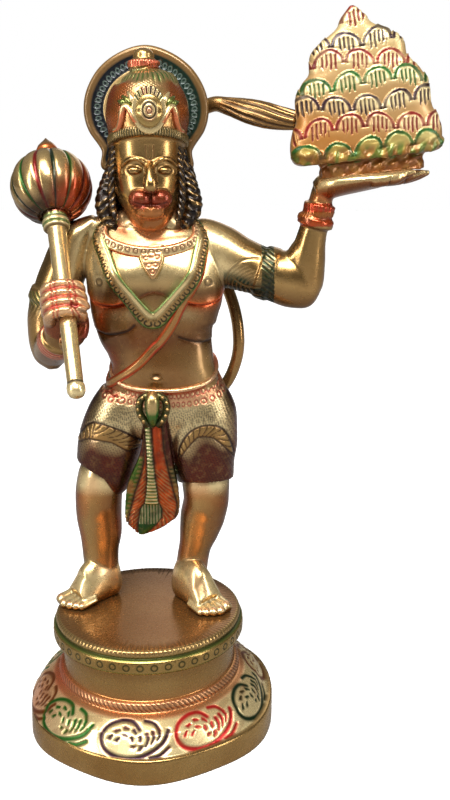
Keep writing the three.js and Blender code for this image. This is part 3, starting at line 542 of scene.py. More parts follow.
def makeStudio():
    for name, place, wide, tall, watts in studio["lamps"]:
        way = np.array(place) - (0, 0, studio["aims"].get(name, studio["aim"]))
        makeLight(name, "AREA", place, way, watts, shape="RECTANGLE", size=wide, size_y=tall)
    sun = studio["sun"]
    makeLight("sun", "SUN", (0, 0, 0), sun["from"], sun["strength"], angle=math.radians(sun["angle"]))
    makeFloor(studio["floor"])
    look = studio["world"]
    world = bpy.data.worlds.new("studio")
    world.use_nodes = True
    world.node_tree.nodes.clear()
    add = nodeMaker(world.node_tree)
    way = add("ShaderNodeTexCoord", {})["Generated"]
    up = add("ShaderNodeSeparateXYZ", {"Vector": way})["Z"]
    room = mixWith(add, rampWith(add, up, *look["rise"]), look["wall"], look["sky"])
    tone = mixWith(add, add("ShaderNodeLightPath", {})["Is Camera Ray"], room, look["seen"])
    light = add("ShaderNodeBackground", {"Color": tone, "Strength": 1})["Background"]
    add("ShaderNodeOutputWorld", {"Surface": light})
    scene.world = world
    scene.view_settings.view_transform = "Standard"
    scene.view_settings.gamma = studio["gamma"]


makeCamera()
makeStudio()
print("camera and light are up")

plinth = {
    "offset": -2.5, "swell": 1.6, "lobes": 6, "around": 672,
    "profile": [(0, 0), (60, 0), (93.4, 0), (93.8, 1.4), (93.7, 9), (93.5, 16.4), (92.9, 17.9), (91.4, 18.6),
                (83.2, 30.2), (74.5, 36), (70.2, 38.0), (68.7, 38.5), (68.9, 39.6), (69.3, 41.9), (68, 44.6),
                (66.2, 45.4), (65.2, 45.5), (65, 46.8), (64.9, 56), (65, 66.6), (64.8, 68.1), (68.6, 68.5),
                (71.2, 69.7), (71.9, 71.2), (72.1, 75.2), (71.9, 78.6), (70.6, 80.0), (68.8, 80.6),
                (69.4, 81.7), (69.9, 83.8), (69.1, 85.6), (67.2, 86.5), (58, 86.5), (0.6, 86.5)],
    "step": 0.62, "plainStep": 6, "plainWall": (46, 60), "top": 86.5,  # spacing of the rows of points
    "cord": {"low": 38.6, "high": 45.3, "middle": 41.9, "half": 3.1, "strokes": 118, "slant": 0.26},
    "rim": {"low": 81.4, "strokes": 132},
    "rings": {"count": 46, "at": 74.8, "reach": 72, "radius": 2.2},
    "slope": {"low": 18.3, "foot": 93, "high": 38.6, "mean": 80},
    "scrolls": [(-162, "brown"), (-133, "green"), (-94, "purple"), (-58, "red"), (-22, "darkGreen"),
                (14, "brown"), (50, "green"), (86, "purple"), (122, "red"), (160, "green")],
}


plinthLook = dict(brass, specks=0.03, rough=(0.24, 0.3), coat=0.15, wear=0.85)


def plinthRows():
    # The profile with points every `step` mm, and every `plainStep` mm where nothing is cut
    rows = np.array(plinth["profile"], float)
    parts = []
    for a, b in zip(rows[:-1], rows[1:]):
        onWall = plinth["plainWall"][0] < a[1] < plinth["plainWall"][1]
        plain = b[1] <= 0 or a[1] >= plinth["top"] <= b[1] or onWall
        count = max(1, int(np.hypot(*(b - a)) / plinth["plainStep" if plain else "step"]))
        parts.append(a + (b - a) * (np.arange(count) / count)[:, None])
    return np.vstack(parts + [rows[-1:]])


def makePlinth():
    # A turned surface: (offset + (r + swell cos 6a) cos a, (r + swell cos 6a) sin a, z), with its cuts in r, z
    rows = plinthRows()
    r, z = rows[:, :1], rows[:, 1:]
    angle = (2 * np.pi * np.arange(plinth["around"]) / plinth["around"])[None, :]
    around = angle / (2 * np.pi)
    push = np.zeros((len(rows), plinth["around"]))
    paint = Paint(push.shape)

    look = plinth["cord"]
    ring = (z > look["low"]) & (z < look["high"])
    slant = wave(around * look["strokes"] + (z - 42) * look["slant"]) ** 2
    cut = ring * slant * step(1 - np.abs((z - look["middle"]) / look["half"]), 0.3)
    push -= 0.45 * cut
    paint.coats(("cream", ring * 0.4), ("pink", ring * 0.5 * step(3.6 - np.abs(z - 41.8))),
                ("crimson", cut * 0.35))
    paint.cut(cut * 0.9)
    onRim = z > plinth["rim"]["low"]
    cut = wave(around * plinth["rim"]["strokes"]) ** 4 * (onRim * step(r - 64.8) * step(z - 83.2, 1.5))
    push -= 0.4 * cut
    paint.lay("cream", 0.35 * onRim * step(r - 66.2))
    paint.cut(cut * 0.7)
    look = plinth["rings"]
    cell = (around * look["count"]) % 1 - 0.5
    beside = cell * 2 * np.pi * look["reach"] / look["count"]
    punch = ringPunch(beside, z - look["at"], look["radius"], 0.5) * (r > 68)
    push -= 0.4 * punch
    onTop, outside = step(68 - r) * (z > 86.2), r > 67
    paint.lay("green", 0.3 * (z > 70) * (z < 80) * outside)
    paint.cut(punch)
    paint.coats(("green", 0.85 * line(z - 80.3, 1.0) * outside + 0.6 * punch * (z > 70)),
                ("green", 0.85 * line(z - 70.2, 0.8) * outside))
    paint.cut(0.8 * line(z - 80.6, 0.6) * outside)
    paint.coats(("orange", 0.75 * line(z - 68.3, 1.3) + 0.55 * line(z - 46, 0.8)), ("brown", 0.7 * onTop),
                ("umber", 0.35 * onTop + 0.45 * (z > 46) * (z < 68.2) + 0.2 * (z < 18)))

    look = plinth["slope"]
    up = np.hypot(look["foot"] - r, z - look["low"]) * (z > look["low"]) * (z < look["high"])  # how far up it
    onSlope = z > look["low"] + 0.1
    leftward = bell(np.degrees(angle) - 196, 26)  # the reddest part of the wash
    paint.coats(("cream", 0.95 * (up > 0.6) * step(27.5 - up, 2)),
                ("pink", 0.55 * onSlope * (z < 39) * step(up - 26.4, 3)),
                ("red", 0.5 * leftward * onSlope * (z < 46)), ("gold", 0.35 * (up > 0.6) * bell(up - 23, 4)))
    for at, colour in plinth["scrolls"]:
        away = (np.degrees(angle) - at + 180) % 360 - 180
        u = np.radians(away) * look["mean"]
        cuts = scrollCuts(u, up) * ((np.abs(u) < 27) & (up > 0.4))
        push -= 0.6 * cuts
        paint.lay(colour, cuts)
        paint.cut(cuts * 0.3)
    spots = blotch(np.stack(np.broadcast_arrays(angle * 60, up, z), axis=-1), 14, 3) > 0.75
    paint.lay("brown", 0.25 * onSlope * (z < 38.7) * spots)

    reach = r + plinth["swell"] * np.clip(1 - z / 38.5, 0, 1) * np.cos(plinth["lobes"] * (angle + np.pi / 2))
    reach = np.where(r < 60, r, reach) + push
    aside = np.where(z > 18.5, plinth["offset"], 0)
    grid = np.stack([aside + reach * np.cos(angle), reach * np.sin(angle), z + 0 * angle], axis=-1)
    finished("plinthBrass", shellOf(grid), paint.listed("beside"), "plinth brass", plinthLook, "plinth")


scroll = {
    "stems": [  # the big C, the counter curl and the branch: their lines across and up the slope, and widths
        ([(5, 20), (0, 25), (-9, 25.4), (-17.5, 21), (-20.6, 13), (-17, 5.4), (-8, 1.6), (3, 1.6), (13, 5),
          (21, 10.6), (25, 18)], 1.6),
        ([(9, 25.6), (15.5, 23.8), (19, 18.6)], 1.4), ([(12, 1.6), (18, 2.6), (24, 6.6)], 1.3)],
    "heart": (-4, 10), "circles": [(10.8, 0.62, 1.7), (5.8, 1.05, 1.6)],  # radius, pitch as an angle, width
    "commas": [[(9.5, 8.5), (11, 12.6), (10.4, 17)], [(13, 10), (14.8, 13.6), (14.4, 18)],
               [(17, 12), (19, 15), (18.6, 18.4)]],
}


def scrollCuts(u, v):
    # One leaf scroll on the slope: a big C-shaped stem, rows of comma strokes on circles inside it, and a
    # small counter curl; each cut is 1 on its line and falls to 0 outside its half width
    u, v = np.broadcast_arrays(u, v)
    points = np.stack([u.ravel(), v.ravel()], axis=1)
    cuts = np.zeros(len(points))
    for route, wide in scroll["stems"]:
        cuts = np.maximum(cuts, line(nearLine(points, curved(route, 4))[0], wide))
    x, y = (points - scroll["heart"]).T
    spread, turn = np.hypot(x, y), np.arctan2(y, x)
    for radius, pitch, wide in scroll["circles"]:
        along = (turn / pitch + radius) % 1
        stroke = line(spread - radius - 1.6 * (along - 0.5), wide * (0.45 + 0.75 * along))
        stroke *= step(0.72 - along, 0.2)
        cuts = np.maximum(cuts, stroke * step(turn + 0.5, 0.2) * (points[:, 1] < 22))
    for comma in scroll["commas"]:
        far, at = nearLine(points, curved(comma, 3))
        cuts = np.maximum(cuts, line(far, 0.7 + 0.1 * at))
    return cuts.reshape(u.shape)


makePlinth()
print("plinth is made")

torso = {
    "rows": [
        (11.2, 14, 152, 38, 19, 18), (11.2, 13, 171, 40.5, 21, 20.5), (10.6, 12, 190, 36.8, 21, 20),
        (8.7, 12, 200.4, 38.2, 21.4, 20.6), (6.6, 12, 213, 43, 22.6, 22), (6, 12, 226, 46.2, 23, 23.5),
        (6.6, 12, 240, 48.2, 24, 25), (6.8, 12, 254, 49.6, 24.4, 25.5), (5.8, 12.5, 266, 49.2, 22.4, 24),
        (4.6, 13, 276, 45.4, 19.5, 21), (4.2, 13, 284, 35, 16.5, 17.5), (4.7, 11, 291, 23, 15, 15.5),
        (4.8, 7, 300, 17.8, 14.5, 15), (4.6, 5, 309, 17, 14, 15),
    ],
    "square": 0.86,
    "dents": [  # place, size, push
        ((-15, -11, 249), (17, 15, 13), 4.6), ((29, -11, 249), (17, 15, 13), 4.6),
        ((9, -8, 184), (24, 12, 15), 2.2), ((9, -8, 216), (5, 14, 22), -1.2),
        ((7, 36, 235), (6, 12, 48), -3.2), ((-14, 33, 256), (15, 13, 17), 3.4),
        ((28, 33, 256), (15, 13, 17), 3.4),
    ],
    "voxel": 0.82,
}
torsoLines = curved(np.array(torso["rows"], float), 6)


def pushed(points, centres, dents):
    # p <- p + unit(p - centre) sum push exp(-|(p - at) / size|^2)
    total = sum(push * np.exp(-np.sum(((points - np.array(at)) / np.array(size)) ** 2, axis=-1))
                for at, size, push in dents)
    return points + unit(points - centres) * total[..., None]


def onTorso(turn, height, lift=0.0):
    # The skin at an angle round the trunk (90 is the breast bone) and a height, and its outward way
    rows = np.stack([np.interp(height, torsoLines[:, 2], torsoLines[:, n]) for n in range(6)], axis=-1)
    turn = np.radians(turn)
    ca, sa = power(np.cos(turn), torso["square"]), power(np.sin(turn), torso["square"])
    u, v = rows[..., 3] * ca, np.where(sa > 0, rows[..., 4], rows[..., 5]) * sa
    way = unit(np.stack([u / rows[..., 3] ** 2, -v / rows[..., 4] ** 2, 0 * u], axis=-1))
    point = np.stack([rows[..., 0] + u, rows[..., 1] - v, rows[..., 2]], axis=-1)
    return pushed(point, rows[..., :3], torso["dents"]) + way * lift, way


def trunkShell():
    # The trunk's ovals, with the breast, belly and back pushed out or in
    rows = eased(torso["rows"], 1.5)
    grid = loft(rows, sides=120, square=torso["square"])
    return shellOf(pushed(grid, rows[:, None, :3], torso["dents"]))


def tubeShell(route, radius=4.0, across=(1, 0, 0), sides=28, steps=8):
    # A round tube on a smooth line; a fourth number in the route is its radius there
    rows = np.array([(x, y, z, *(rest or (radius,))) for x, y, z, *rest in route], float)
    rows = curved(rows, steps)
    return shellOf(loft(rows[:, [0, 1, 2, 3, 3, 3]], across, sides))


def ballShell(centre, radii, sides=36, rings=18):
    # Ovals up an axis: centre - height cos a, half widths sin a
    angle = np.pi * (np.arange(rings + 1) + 0.35) / (rings + 0.7)
    wide = np.sin(angle)
    rows = np.stack([np.full_like(wide, centre[0]), np.full_like(wide, centre[1]),
                     centre[2] - radii[2] * np.cos(angle), radii[0] * wide, radii[1] * wide,
                     radii[1] * wide], axis=1)
    return shellOf(loft(rows, sides=sides))


gripPoint = np.array([-48.7, -39.4, 235.7])
ballPoint = np.array([-64.2, 10, 310.9])
maceWay = unit(ballPoint - gripPoint)
gripRight = unit(np.array([1.0, 0, 0]) - maceWay * maceWay[0])
gripFront = np.cross(gripRight, maceWay)


def atGrip(right, front, along):
    # A place by the mace's shaft: grip + right, front and along its axes
    return gripPoint + right * gripRight + front * gripFront + along * maceWay


rightArm = {
    "upper": [
        (-35, 14, 289.4, 3.6, 6, 7), (-43.6, 15, 282, 8.8, 10.4, 12), (-51.4, 15, 272.8, 13.4, 14, 14.6),
        (-59, 15, 253, 16, 16.4, 16.4), (-63.8, 15, 240.4, 16.6, 16.6, 16), (-64, 15, 239, 18.4, 18.4, 17.8),
        (-67.6, 15, 230, 18.6, 18.2, 17.4), (-68, 15, 228.6, 17, 16.4, 15.6),
        (-70.6, 15.5, 216, 16.4, 16, 15.4), (-71.2, 15, 202, 15.2, 15.4, 15.6),
        (-70, 12.6, 190, 12, 13.4, 14.4), (-69, 11, 182, 3.4, 4.6, 4.6),
    ],
    "fore": [
        (-71, 18, 193, 10, 10, 9), (-68.5, 7, 198, 13, 12.5, 11), (-63, -6.6, 204.4, 12.8, 12.2, 11.8),
        (-61.6, -10, 206, 12.4, 11.8, 11.8), (-61.2, -11, 206.4, 14.4, 13.8, 13.8),
        (-57.4, -19.6, 211, 13.6, 13, 13), (-57, -20.6, 211.8, 11, 10.4, 10.4),
        (-54.8, -27, 220, 11.4, 9.2, 9.2), (-54.5, -32, 233, 11.6, 8.4, 8),
        (-54.5, -31, 245, 8.8, 6.6, 6.6), (-54, -29, 250, 3.4, 3, 3),
    ],
    "fingers": [(-9.9, 4), (-3.3, 5.2), (3.3, 5.4), (9.9, 4.4)],
    "turns": [205, 145, 85, 25, -30, -66], "thick": 4.2, "wide": 3.2, "reach": 9.75,
}


def rightArmShells():
    # Each finger goes round the shaft at reach + knuckle e^(-((turn - 150) / 40)^2)
    shells = [shellOf(loft(eased(rightArm["upper"], 1.2), sides=72)),
              shellOf(loft(eased(rightArm["fore"], 1.2), sides=64))]
    for along, knuckle in rightArm["fingers"]:
        rows = []
        for i, turn in enumerate(rightArm["turns"]):
            bulge = 1 if i == 0 else 0.55 * math.exp(-((turn - 150) / 40) ** 2)
            far = rightArm["reach"] + knuckle * bulge
            spot = atGrip(far * math.cos(math.radians(turn)), far * math.sin(math.radians(turn)), along)
            size = 1 if i < 5 else 0.7
            rows.append((*spot, rightArm["wide"] * size, rightArm["thick"] * size, rightArm["thick"] * size))
        shells.append(shellOf(loft(curved(rows, 8), maceWay, 28)))
    thumb = [(-8, -14, -20, 6), (0, -13, -20.6, 5.4), (6, -11, -17, 4.8), (9.4, -8, -10, 3.8),
             (9.6, -5, -4, 2.2)]
    shells.append(tubeShell([(*atGrip(*spot), r) for *spot, r in thumb], sides=24))
    return shells + [tubeShell([(-8, 10, 291, 8), (-24, 13, 286, 8), (-42, 15, 279, 9)], across=(0, 1, 0),
                               sides=32)]


leftArm = {
    "upper": [
        (28, 12.6, 270, 18, 13, 14), (40, 13.4, 268.4, 21.4, 15.4, 16.4), (51, 14, 264.8, 21, 17, 17.4),
        (66, 12.2, 258.2, 19, 16.4, 16.4), (81, 9.7, 253.2, 17.4, 15.4, 15.4), (81.6, 9.6, 253, 19, 17.2, 17.2),
        (90, 8.6, 250.4, 19.4, 17.2, 17.2), (90.6, 8.5, 250.2, 18.2, 15.4, 15.4), (103, 7, 247.4, 19.8, 15, 15),
        (112.6, 6, 245.6, 18.4, 13.4, 13.6), (120, 5, 246.4, 11, 9, 10), (123.4, 5, 247, 4.4, 4, 5),
    ],
    "fore": [
        (109, 7, 236, 10, 9, 9), (111.6, 5.8, 246.6, 13.9, 12.6, 13.2), (113, 4, 260, 13.2, 12, 12.6),
        (115.6, 1, 276, 10.4, 9.8, 10.2), (117.5, -0.1, 284.4, 9.6, 9.2, 9.4),
        (117.7, -0.2, 285.2, 12.4, 12.4, 12.4), (118.7, -0.8, 290, 12.6, 12.4, 12.4),
        (119.2, -1.1, 292, 10.4, 10.2, 10.2), (120.8, -2, 299.4, 11, 11, 11), (121, -2.1, 300.4, 8.2, 8.4, 8.4),
        (122.6, -3, 309, 7.4, 8.6, 8.6), (124, -3.6, 315, 4.4, 5, 5),
    ],
    "palm": [
        (118, -3, 308.6, 8, 6, 8), (124, -4, 311.6, 12, 8.4, 9.6), (133, -5.5, 313.4, 15.8, 7.6, 8.8),
        (146, -7, 315, 17.6, 6.8, 7.6), (160, -8, 316.6, 16, 5, 6.2),
    ],
    "fingers": [(-20.6, 182, -17.6), (-12.2, 190, -10.8), (-3.8, 194, -4), (4.6, 188, 2.8)],
}


def leftArmShells():
    # Upper arm, forearm and palm, four fingers and a thumb laid back, and the bend of the elbow
    shells = [shellOf(loft(eased(leftArm["upper"], 1.2), (0, 0, -1), 72)),
              shellOf(loft(eased(leftArm["fore"], 1.0), sides=64)),
              shellOf(loft(eased(leftArm["palm"], 1.2), (0, -1, 0), 56))]
    for side, tip, tipSide in leftArm["fingers"]:
        finger = [(152, side, 314.6, 4.6), ((152 + tip) / 2, (side + tipSide) / 2, 316.4, 4.5),
                  (tip - 9, tipSide, 318.4, 3.6), (tip, tipSide, 320.6, 1.6)]
        shells.append(tubeShell(finger, across=(0, -1, 0), sides=24))
    thumb = [(122, 4, 309, 5.4), (134, 13, 310.6, 4.8), (146, 18.4, 314, 3.6), (153, 20, 317, 1.6)]
    bend = [(95, 7, 255, 8), (105, 4.6, 260, 9.4), (111.4, 2.6, 269, 9.4), (114, 1.4, 278, 7)]
    return shells + [tubeShell(thumb, across=(0, 0, 1), sides=24), tubeShell(bend, across=(0, 1, 0), sides=36)]


def strapShell(route, thick, lift, look, steps=24, sides=56, square=0.62):
    # A band on the skin: point = skin(turn, height) + across half cos^q + out thick sin^q + its own relief,
    # where across = out x along; `look` gives relief, lacquer and wax from the place along and across it
    path = curved(route, steps)
    where, _ = onTorso(path[:, 0], path[:, 1], lift)
    path, along = evenly(np.concatenate([where, path], axis=1), 0.42)
    spot, skinOut = onTorso(path[:, 3], path[:, 4], lift)
    way = unit(np.gradient(spot, axis=0))
    across = unit(np.cross(skinOut, way))
    out = unit(np.cross(way, across))
    out *= np.sign(np.sum(out * skinOut, axis=1, keepdims=True))
    angle = 2 * np.pi * np.arange(sides) / sides
    ca, sa = power(np.cos(angle), square)[None], power(np.sin(angle), square)[None]
    half = path[:, 5:6]
    u = half * ca
    relief, coats, cut = look(along[:, None] + 0 * u, u, half + 0 * u)
    front = np.clip(sa * 3, 0, 1)
    rise = thick * sa + relief * front
    grid = spot[:, None] + across[:, None] * u[..., None] + out[:, None] * rise[..., None]
    paint = Paint(u.shape)
    for name, share in coats:
        paint.lay(name, share * front)
    paint.cut(np.maximum(cut, 0.7 * (sa < -0.1)) * np.maximum(front, sa < -0.1))
    return shellOf(grid), paint.listed("bare")


def punchRow(s, u, pitch, radius, width=0.42):
    # A row of struck rings, one in the middle of each step of s
    return ringPunch((s / pitch % 1 - 0.5) * pitch, u, radius, width)


def necklaceLook(s, u, half):
    # Rings along the middle and a lined lower edge
    rings = punchRow(s, u + 0.5, 5.2, 1.55)
    edge = line(np.abs(u) - half * 0.86, 0.5)
    return (-0.35 * rings - 0.2 * edge,
            [("cream", 0.85), ("pink", 0.3 * np.clip(0.4 - u / half, 0, 1)),
             ("orange", 0.9 * step(u - half * 0.62, 1.2)),
             ("brick", 0.7 * rings), ("orange", 0.6 * edge)], rings * 0.7)


def garlandLook(s, u, half):
    # Rings on the outer half, a seam, and a plain inner half
    rings = punchRow(s, u - half * 0.42, 5.0, 1.75)
    seam = line(u + half * 0.16, 0.5)
    edge = line(np.abs(u) - half * 0.86, 0.85)
    inner = step(-u - half * 0.16, 0.4)
    return (-0.4 * rings - 0.4 * seam + 0.35 * step(u + half * 0.1, 0.4),
            [("cream", 0.75 * inner), ("umber", 0.5 * (1 - inner)), ("darkGreen", 0.9 * rings),
             ("green", 0.85 * edge), ("darkGreen", 0.7 * seam)], np.maximum(rings, seam * 0.7))


def threadLook(s, u, half):
    # Three lines along it, red and orange by turns
    edge = line(np.abs(u) - half * 0.78, 0.95)
    middle = line(u, 0.5)
    return (-0.3 * middle - 0.25 * edge,
            [("brown", 0.5), ("orange", 0.95 * edge), ("red", 0.6 * edge * wave(s / 31)),
             ("orange", 0.3 * middle)], edge * 0.45)


def pendantLook(s, u, half):
    # One large ring and pairs of small ones towards the tip
    rings = ringPunch(s - 6.4, u, 2.2, 0.5)
    for at, side in ((3.5, 4.6), (8.5, 4), (13.5, 2.4), (17.6, 0)):
        rings = np.maximum(rings, ringPunch(s - at, np.abs(u) - side, 1.3, 0.42))
    edge = line(np.abs(u) - half * 0.92, 0.6)
    return (-0.35 * rings - 0.2 * edge,
            [("cream", 0.5), ("pink", 0.3), ("red", 0.5 * rings), ("green", 0.5 * edge)], rings * 0.5)


jewels = [  # look, thickness, sides, lift, and its line: turn round the trunk, height, half width
    (necklaceLook, 3.0, 56, 0, [(8, 291, 3.4), (36, 282, 3.8), (62, 272, 4.2), (90, 267.5, 4.2),
                                (118, 272, 4.2), (144, 282, 3.8), (172, 291, 3.4)]),
    (pendantLook, 3.2, 120, -0.4, [(90, 271, 9.4), (90, 263, 9), (90, 256, 6.2), (90, 250, 1.8)]),
    (garlandLook, 2.8, 56, 0, [(20, 289, 4.6), (46, 273, 5), (63, 253, 5.2), (78, 232, 5.4), (90, 221, 6.4),
                               (102, 232, 5.4), (117, 253, 5.2), (134, 273, 5), (160, 289, 4.6)]),
    (threadLook, 2.2, 56, 0, [(36, 281, 3.4), (60, 250, 3.4), (76, 218, 3.4), (98, 197, 3.4), (130, 181, 3.4),
                              (175, 173, 3.4), (225, 194, 3.4), (270, 236, 3.4), (320, 274, 3.4),
                              (392, 282, 3.4)]),
]


def jewelShells():
    # Necklace, pendant, garland and thread
    return [strapShell(route, thick, lift, look, sides=sides) for look, thick, sides, lift, route in jewels]


def merged(parts):
    # Several shells with their paint as one, moved up onto the plinth
    paint = Paint(0)
    for name in ("colour", "cover", "groove"):
        setattr(paint, name, np.concatenate([getattr(p, name) for _, p in parts]))
    verts, quads, tris = together([shell for shell, _ in parts])
    return (verts + (0, 0, soleLevel), quads, tris), paint


def waxInHollows(skin, depth, share):
    # Wax gathers where a point lies under the mean of those round it
    mean = neighbourMean(skin.verts, skin.quads, skin.tris)
    wide = skin.verts
    for _ in range(6):
        wide = mean(wide)
    hollow = np.sum((wide - skin.verts) * skin.normal, axis=1)
    skin.cut(np.clip(hollow / depth, 0, 1) * share)


skinLines = {  # lines on the front of the trunk, across and up
    "creases": [[(-42, 238), (-36, 232.6), (-30, 230.8), (-22, 230.6), (-15, 232.2), (-10, 234)],
                [(25, 236), (31, 232.8), (38, 231.3), (46, 231.8), (52, 234.6), (56, 239)]],
    "ribs": [[(-38, 212.5), (-29, 210.2), (-22, 210.4), (-12, 213.2), (-7, 217)],
             [(24, 208.6), (31.5, 206), (40, 204.4), (50, 205.2)]],
    "swells": [  # line, height of the swell over it, depth of the hollow under it
        ([(-44, 240), (-36, 232.6), (-30, 230.8), (-22, 230.6), (-15, 232.2), (-8, 237)], 2.6, 1.1),
        ([(21, 238), (26, 235), (31, 232.8), (38, 231.3), (46, 231.8), (52, 234.6), (58, 240)], 2.6, 1.1),
        ([(-40, 214), (-29, 210.2), (-22, 210.4), (-12, 213.2), (-3, 220)], 0.9, 0.3),
        ([(17, 216), (24, 208.6), (31.5, 206), (40, 204.4), (54, 206)], 0.9, 0.3)],
    "arch": [(-3, 236.5), (2, 239), (7, 240), (13, 239.2), (17, 236.8)],
    "washes": [  # line, wash, share, how wide
        ([(-22, 290), (-13, 279), (5, 273), (23, 279), (32, 290)], "orange", 0.75, 3.4),
        ([(-29, 277), (-25, 262), (-18, 250), (-8, 237)], "green", 0.75, 3.2),
        ([(-2, 232), (4, 225)], "green", 0.8, 3), ([(26, 264), (38, 276)], "green", 0.5, 3),
        ([(24, 248), (13, 231)], "green", 0.5, 2.4), ([(42, 282), (37, 268), (33, 258)], "orange", 0.7, 2.6),
        ([(-30, 226), (-33, 214)], "rust", 0.35, 4)],
    "leaf": [(57, 245), (58, 252), (63, 258), (70, 262), (80, 263)],
    "leafSpine": [(61, 250), (66, 246), (72, 243), (80, 243)],
}


def carveTrunk(skin, front):
    # Grooves along the drawn lines; over a line the skin swells by high e^(-over / 9), under it it sinks by
    # low e^(over / 4). Gives the distances to the creases
    x, _, z = skin.verts.T
    flat = skin.verts[:, [0, 2]]
    creases = [nearCurve(flat, route) for route in skinLines["creases"]]
    for far in creases:
        skin.rise -= 0.7 * front * line(far, 1.0)
    for route in skinLines["ribs"]:
        far = nearCurve(flat, route)
        skin.coats(("green", front * 0.5 * bell(far, 2.6)), ("darkGreen", front * line(far, 1.5)))
        skin.etch(front * line(far, 0.9), 0.6, 0.85)
    for route, high, low in skinLines["swells"]:
        across, up = np.array(route, float).T
        over = z - np.interp(x, across, up)
        span = front * step(x - across[0] - 4, 10) * step(across[-1] - x - 4, 10)
        skin.rise += span * np.where(over > 0, high * np.exp(-over / 9) * step(over, 1.2),
                                     -low * np.exp(over / 4))
    arch = nearCurve(flat, skinLines["arch"])
    skin.rise -= 0.5 * front * line(arch, 0.9)
    skin.lay("orange", front * line(arch, 1.1) * 0.8)
    skin.rise -= 0.8 * front * bell(x - 7, 2.6) * step(z - 240, 4) * step(270 - z, 10)
    for side in (-30.9, 44.4):
        skin.etch(ringPunch(x - side, z - 247, 2.3, 0.6) * front, 0.4, 0.8)
    navel = patch(x - 7.5, z - 181, 3.2, 1.6) * front
    skin.rise += 0.7 * patch(x - 7.5, z - 177.4, 5, 2) * front - 1.6 * navel
    skin.cut(navel * 0.8)
    return creases


def paintTrunk(skin, front, creases):
    # Painted shade in umber and brown: darker low down, in bands under the breast and ribs, on the left of the
    # belly, on the lower flanks and where the skin turns down, aside or away; painted highlights in cream on
    # the upper chest and the belly, and in gold on the right flank
    x, y, z = skin.verts.T
    across, ahead, upward = skin.normal.T
    # Skin facing down (under) and facing aside (beside) is given painted shade below
    under, beside = step(-upward - 0.1, 0.9), step(np.abs(across) - 0.62, 0.6)
    flank = front * step(np.abs(x - 6) - 30, 14)
    chestHighlight = 0.75 * step(z - 248, 12) * step(-ahead - 0.5, 0.6) * step(62 - np.abs(x - 6), 24) * (y < 10)
    # Painted shade: the umber and brown coats. Painted highlights: the cream coats and the gold on the right
    # flank
    skin.coats(
        ("umber", 0.55 * step(232 - z, 22) * (np.abs(x - 6) < 52)),
        ("umber", 0.8 * front * (bell(z - 239, 6.5) + bell(z - 206, 7))),
        ("brown", 0.35 * front * step(230 - z, 10) * step(z - 186, 10)),
        ("cream", 0.4 * front * bell(z - 224.5, 4) * step(34 - np.abs(x - 8), 14)),
        ("cream", 0.45 * front * patch(x - 42, z - 184, 8, 17)),
        ("umber", 0.6 * front * patch(x + 24, z - 196, 9, 16)),
        ("umber", 0.6 * under), ("umber", 0.55 * (np.abs(x - 6) < 56) * beside),
        ("brown", 0.36 * step(-upward - 0.35, 0.5)),
        ("brown", 0.5 * flank * step(236 - z, 8)),
        ("darkGreen", 0.35 * flank * step(232 - z, 10) * step(z - 196, 12)),
        ("rust", 0.6 * flank * step(198 - z, 14) * (x < 6)),
        ("gold", 0.6 * flank * step(198 - z, 14) * (x > 6)),
        ("umber", 0.6 * step(ahead + 0.42, 0.5) * (z < 276)), ("cream", chestHighlight))
    for far in creases:
        skin.coats(("orange", front * (line(far, 1.6) + 0.5 * bell(far, 4))),
                   ("brick", 0.7 * front * line(far, 0.8)))
        skin.cut(front * line(far, 0.7) * 0.6)
    skin.lay("rust", 0.8 * bell(z - 301, 9) * (np.abs(x - 4.6) < 24) * (y < 14))
    for route, colour, share, wide in skinLines["washes"]:
        skin.lay(colour, share * bell(nearLine(skin.verts[:, [0, 2]], route)[0], wide) * front)
    skin.lay("brown", 0.35 * step(blotch(skin.verts, 38, 5), 1.2) * (z < 225) * (z > 168))


def slantVeins(turn, up):
    # Veins 4.2 mm apart that wind round an arm: wave((18 turn + 0.9 up) / 4.2)^2
    return wave((turn * 18 + up * 0.9) / 4.2) ** 2


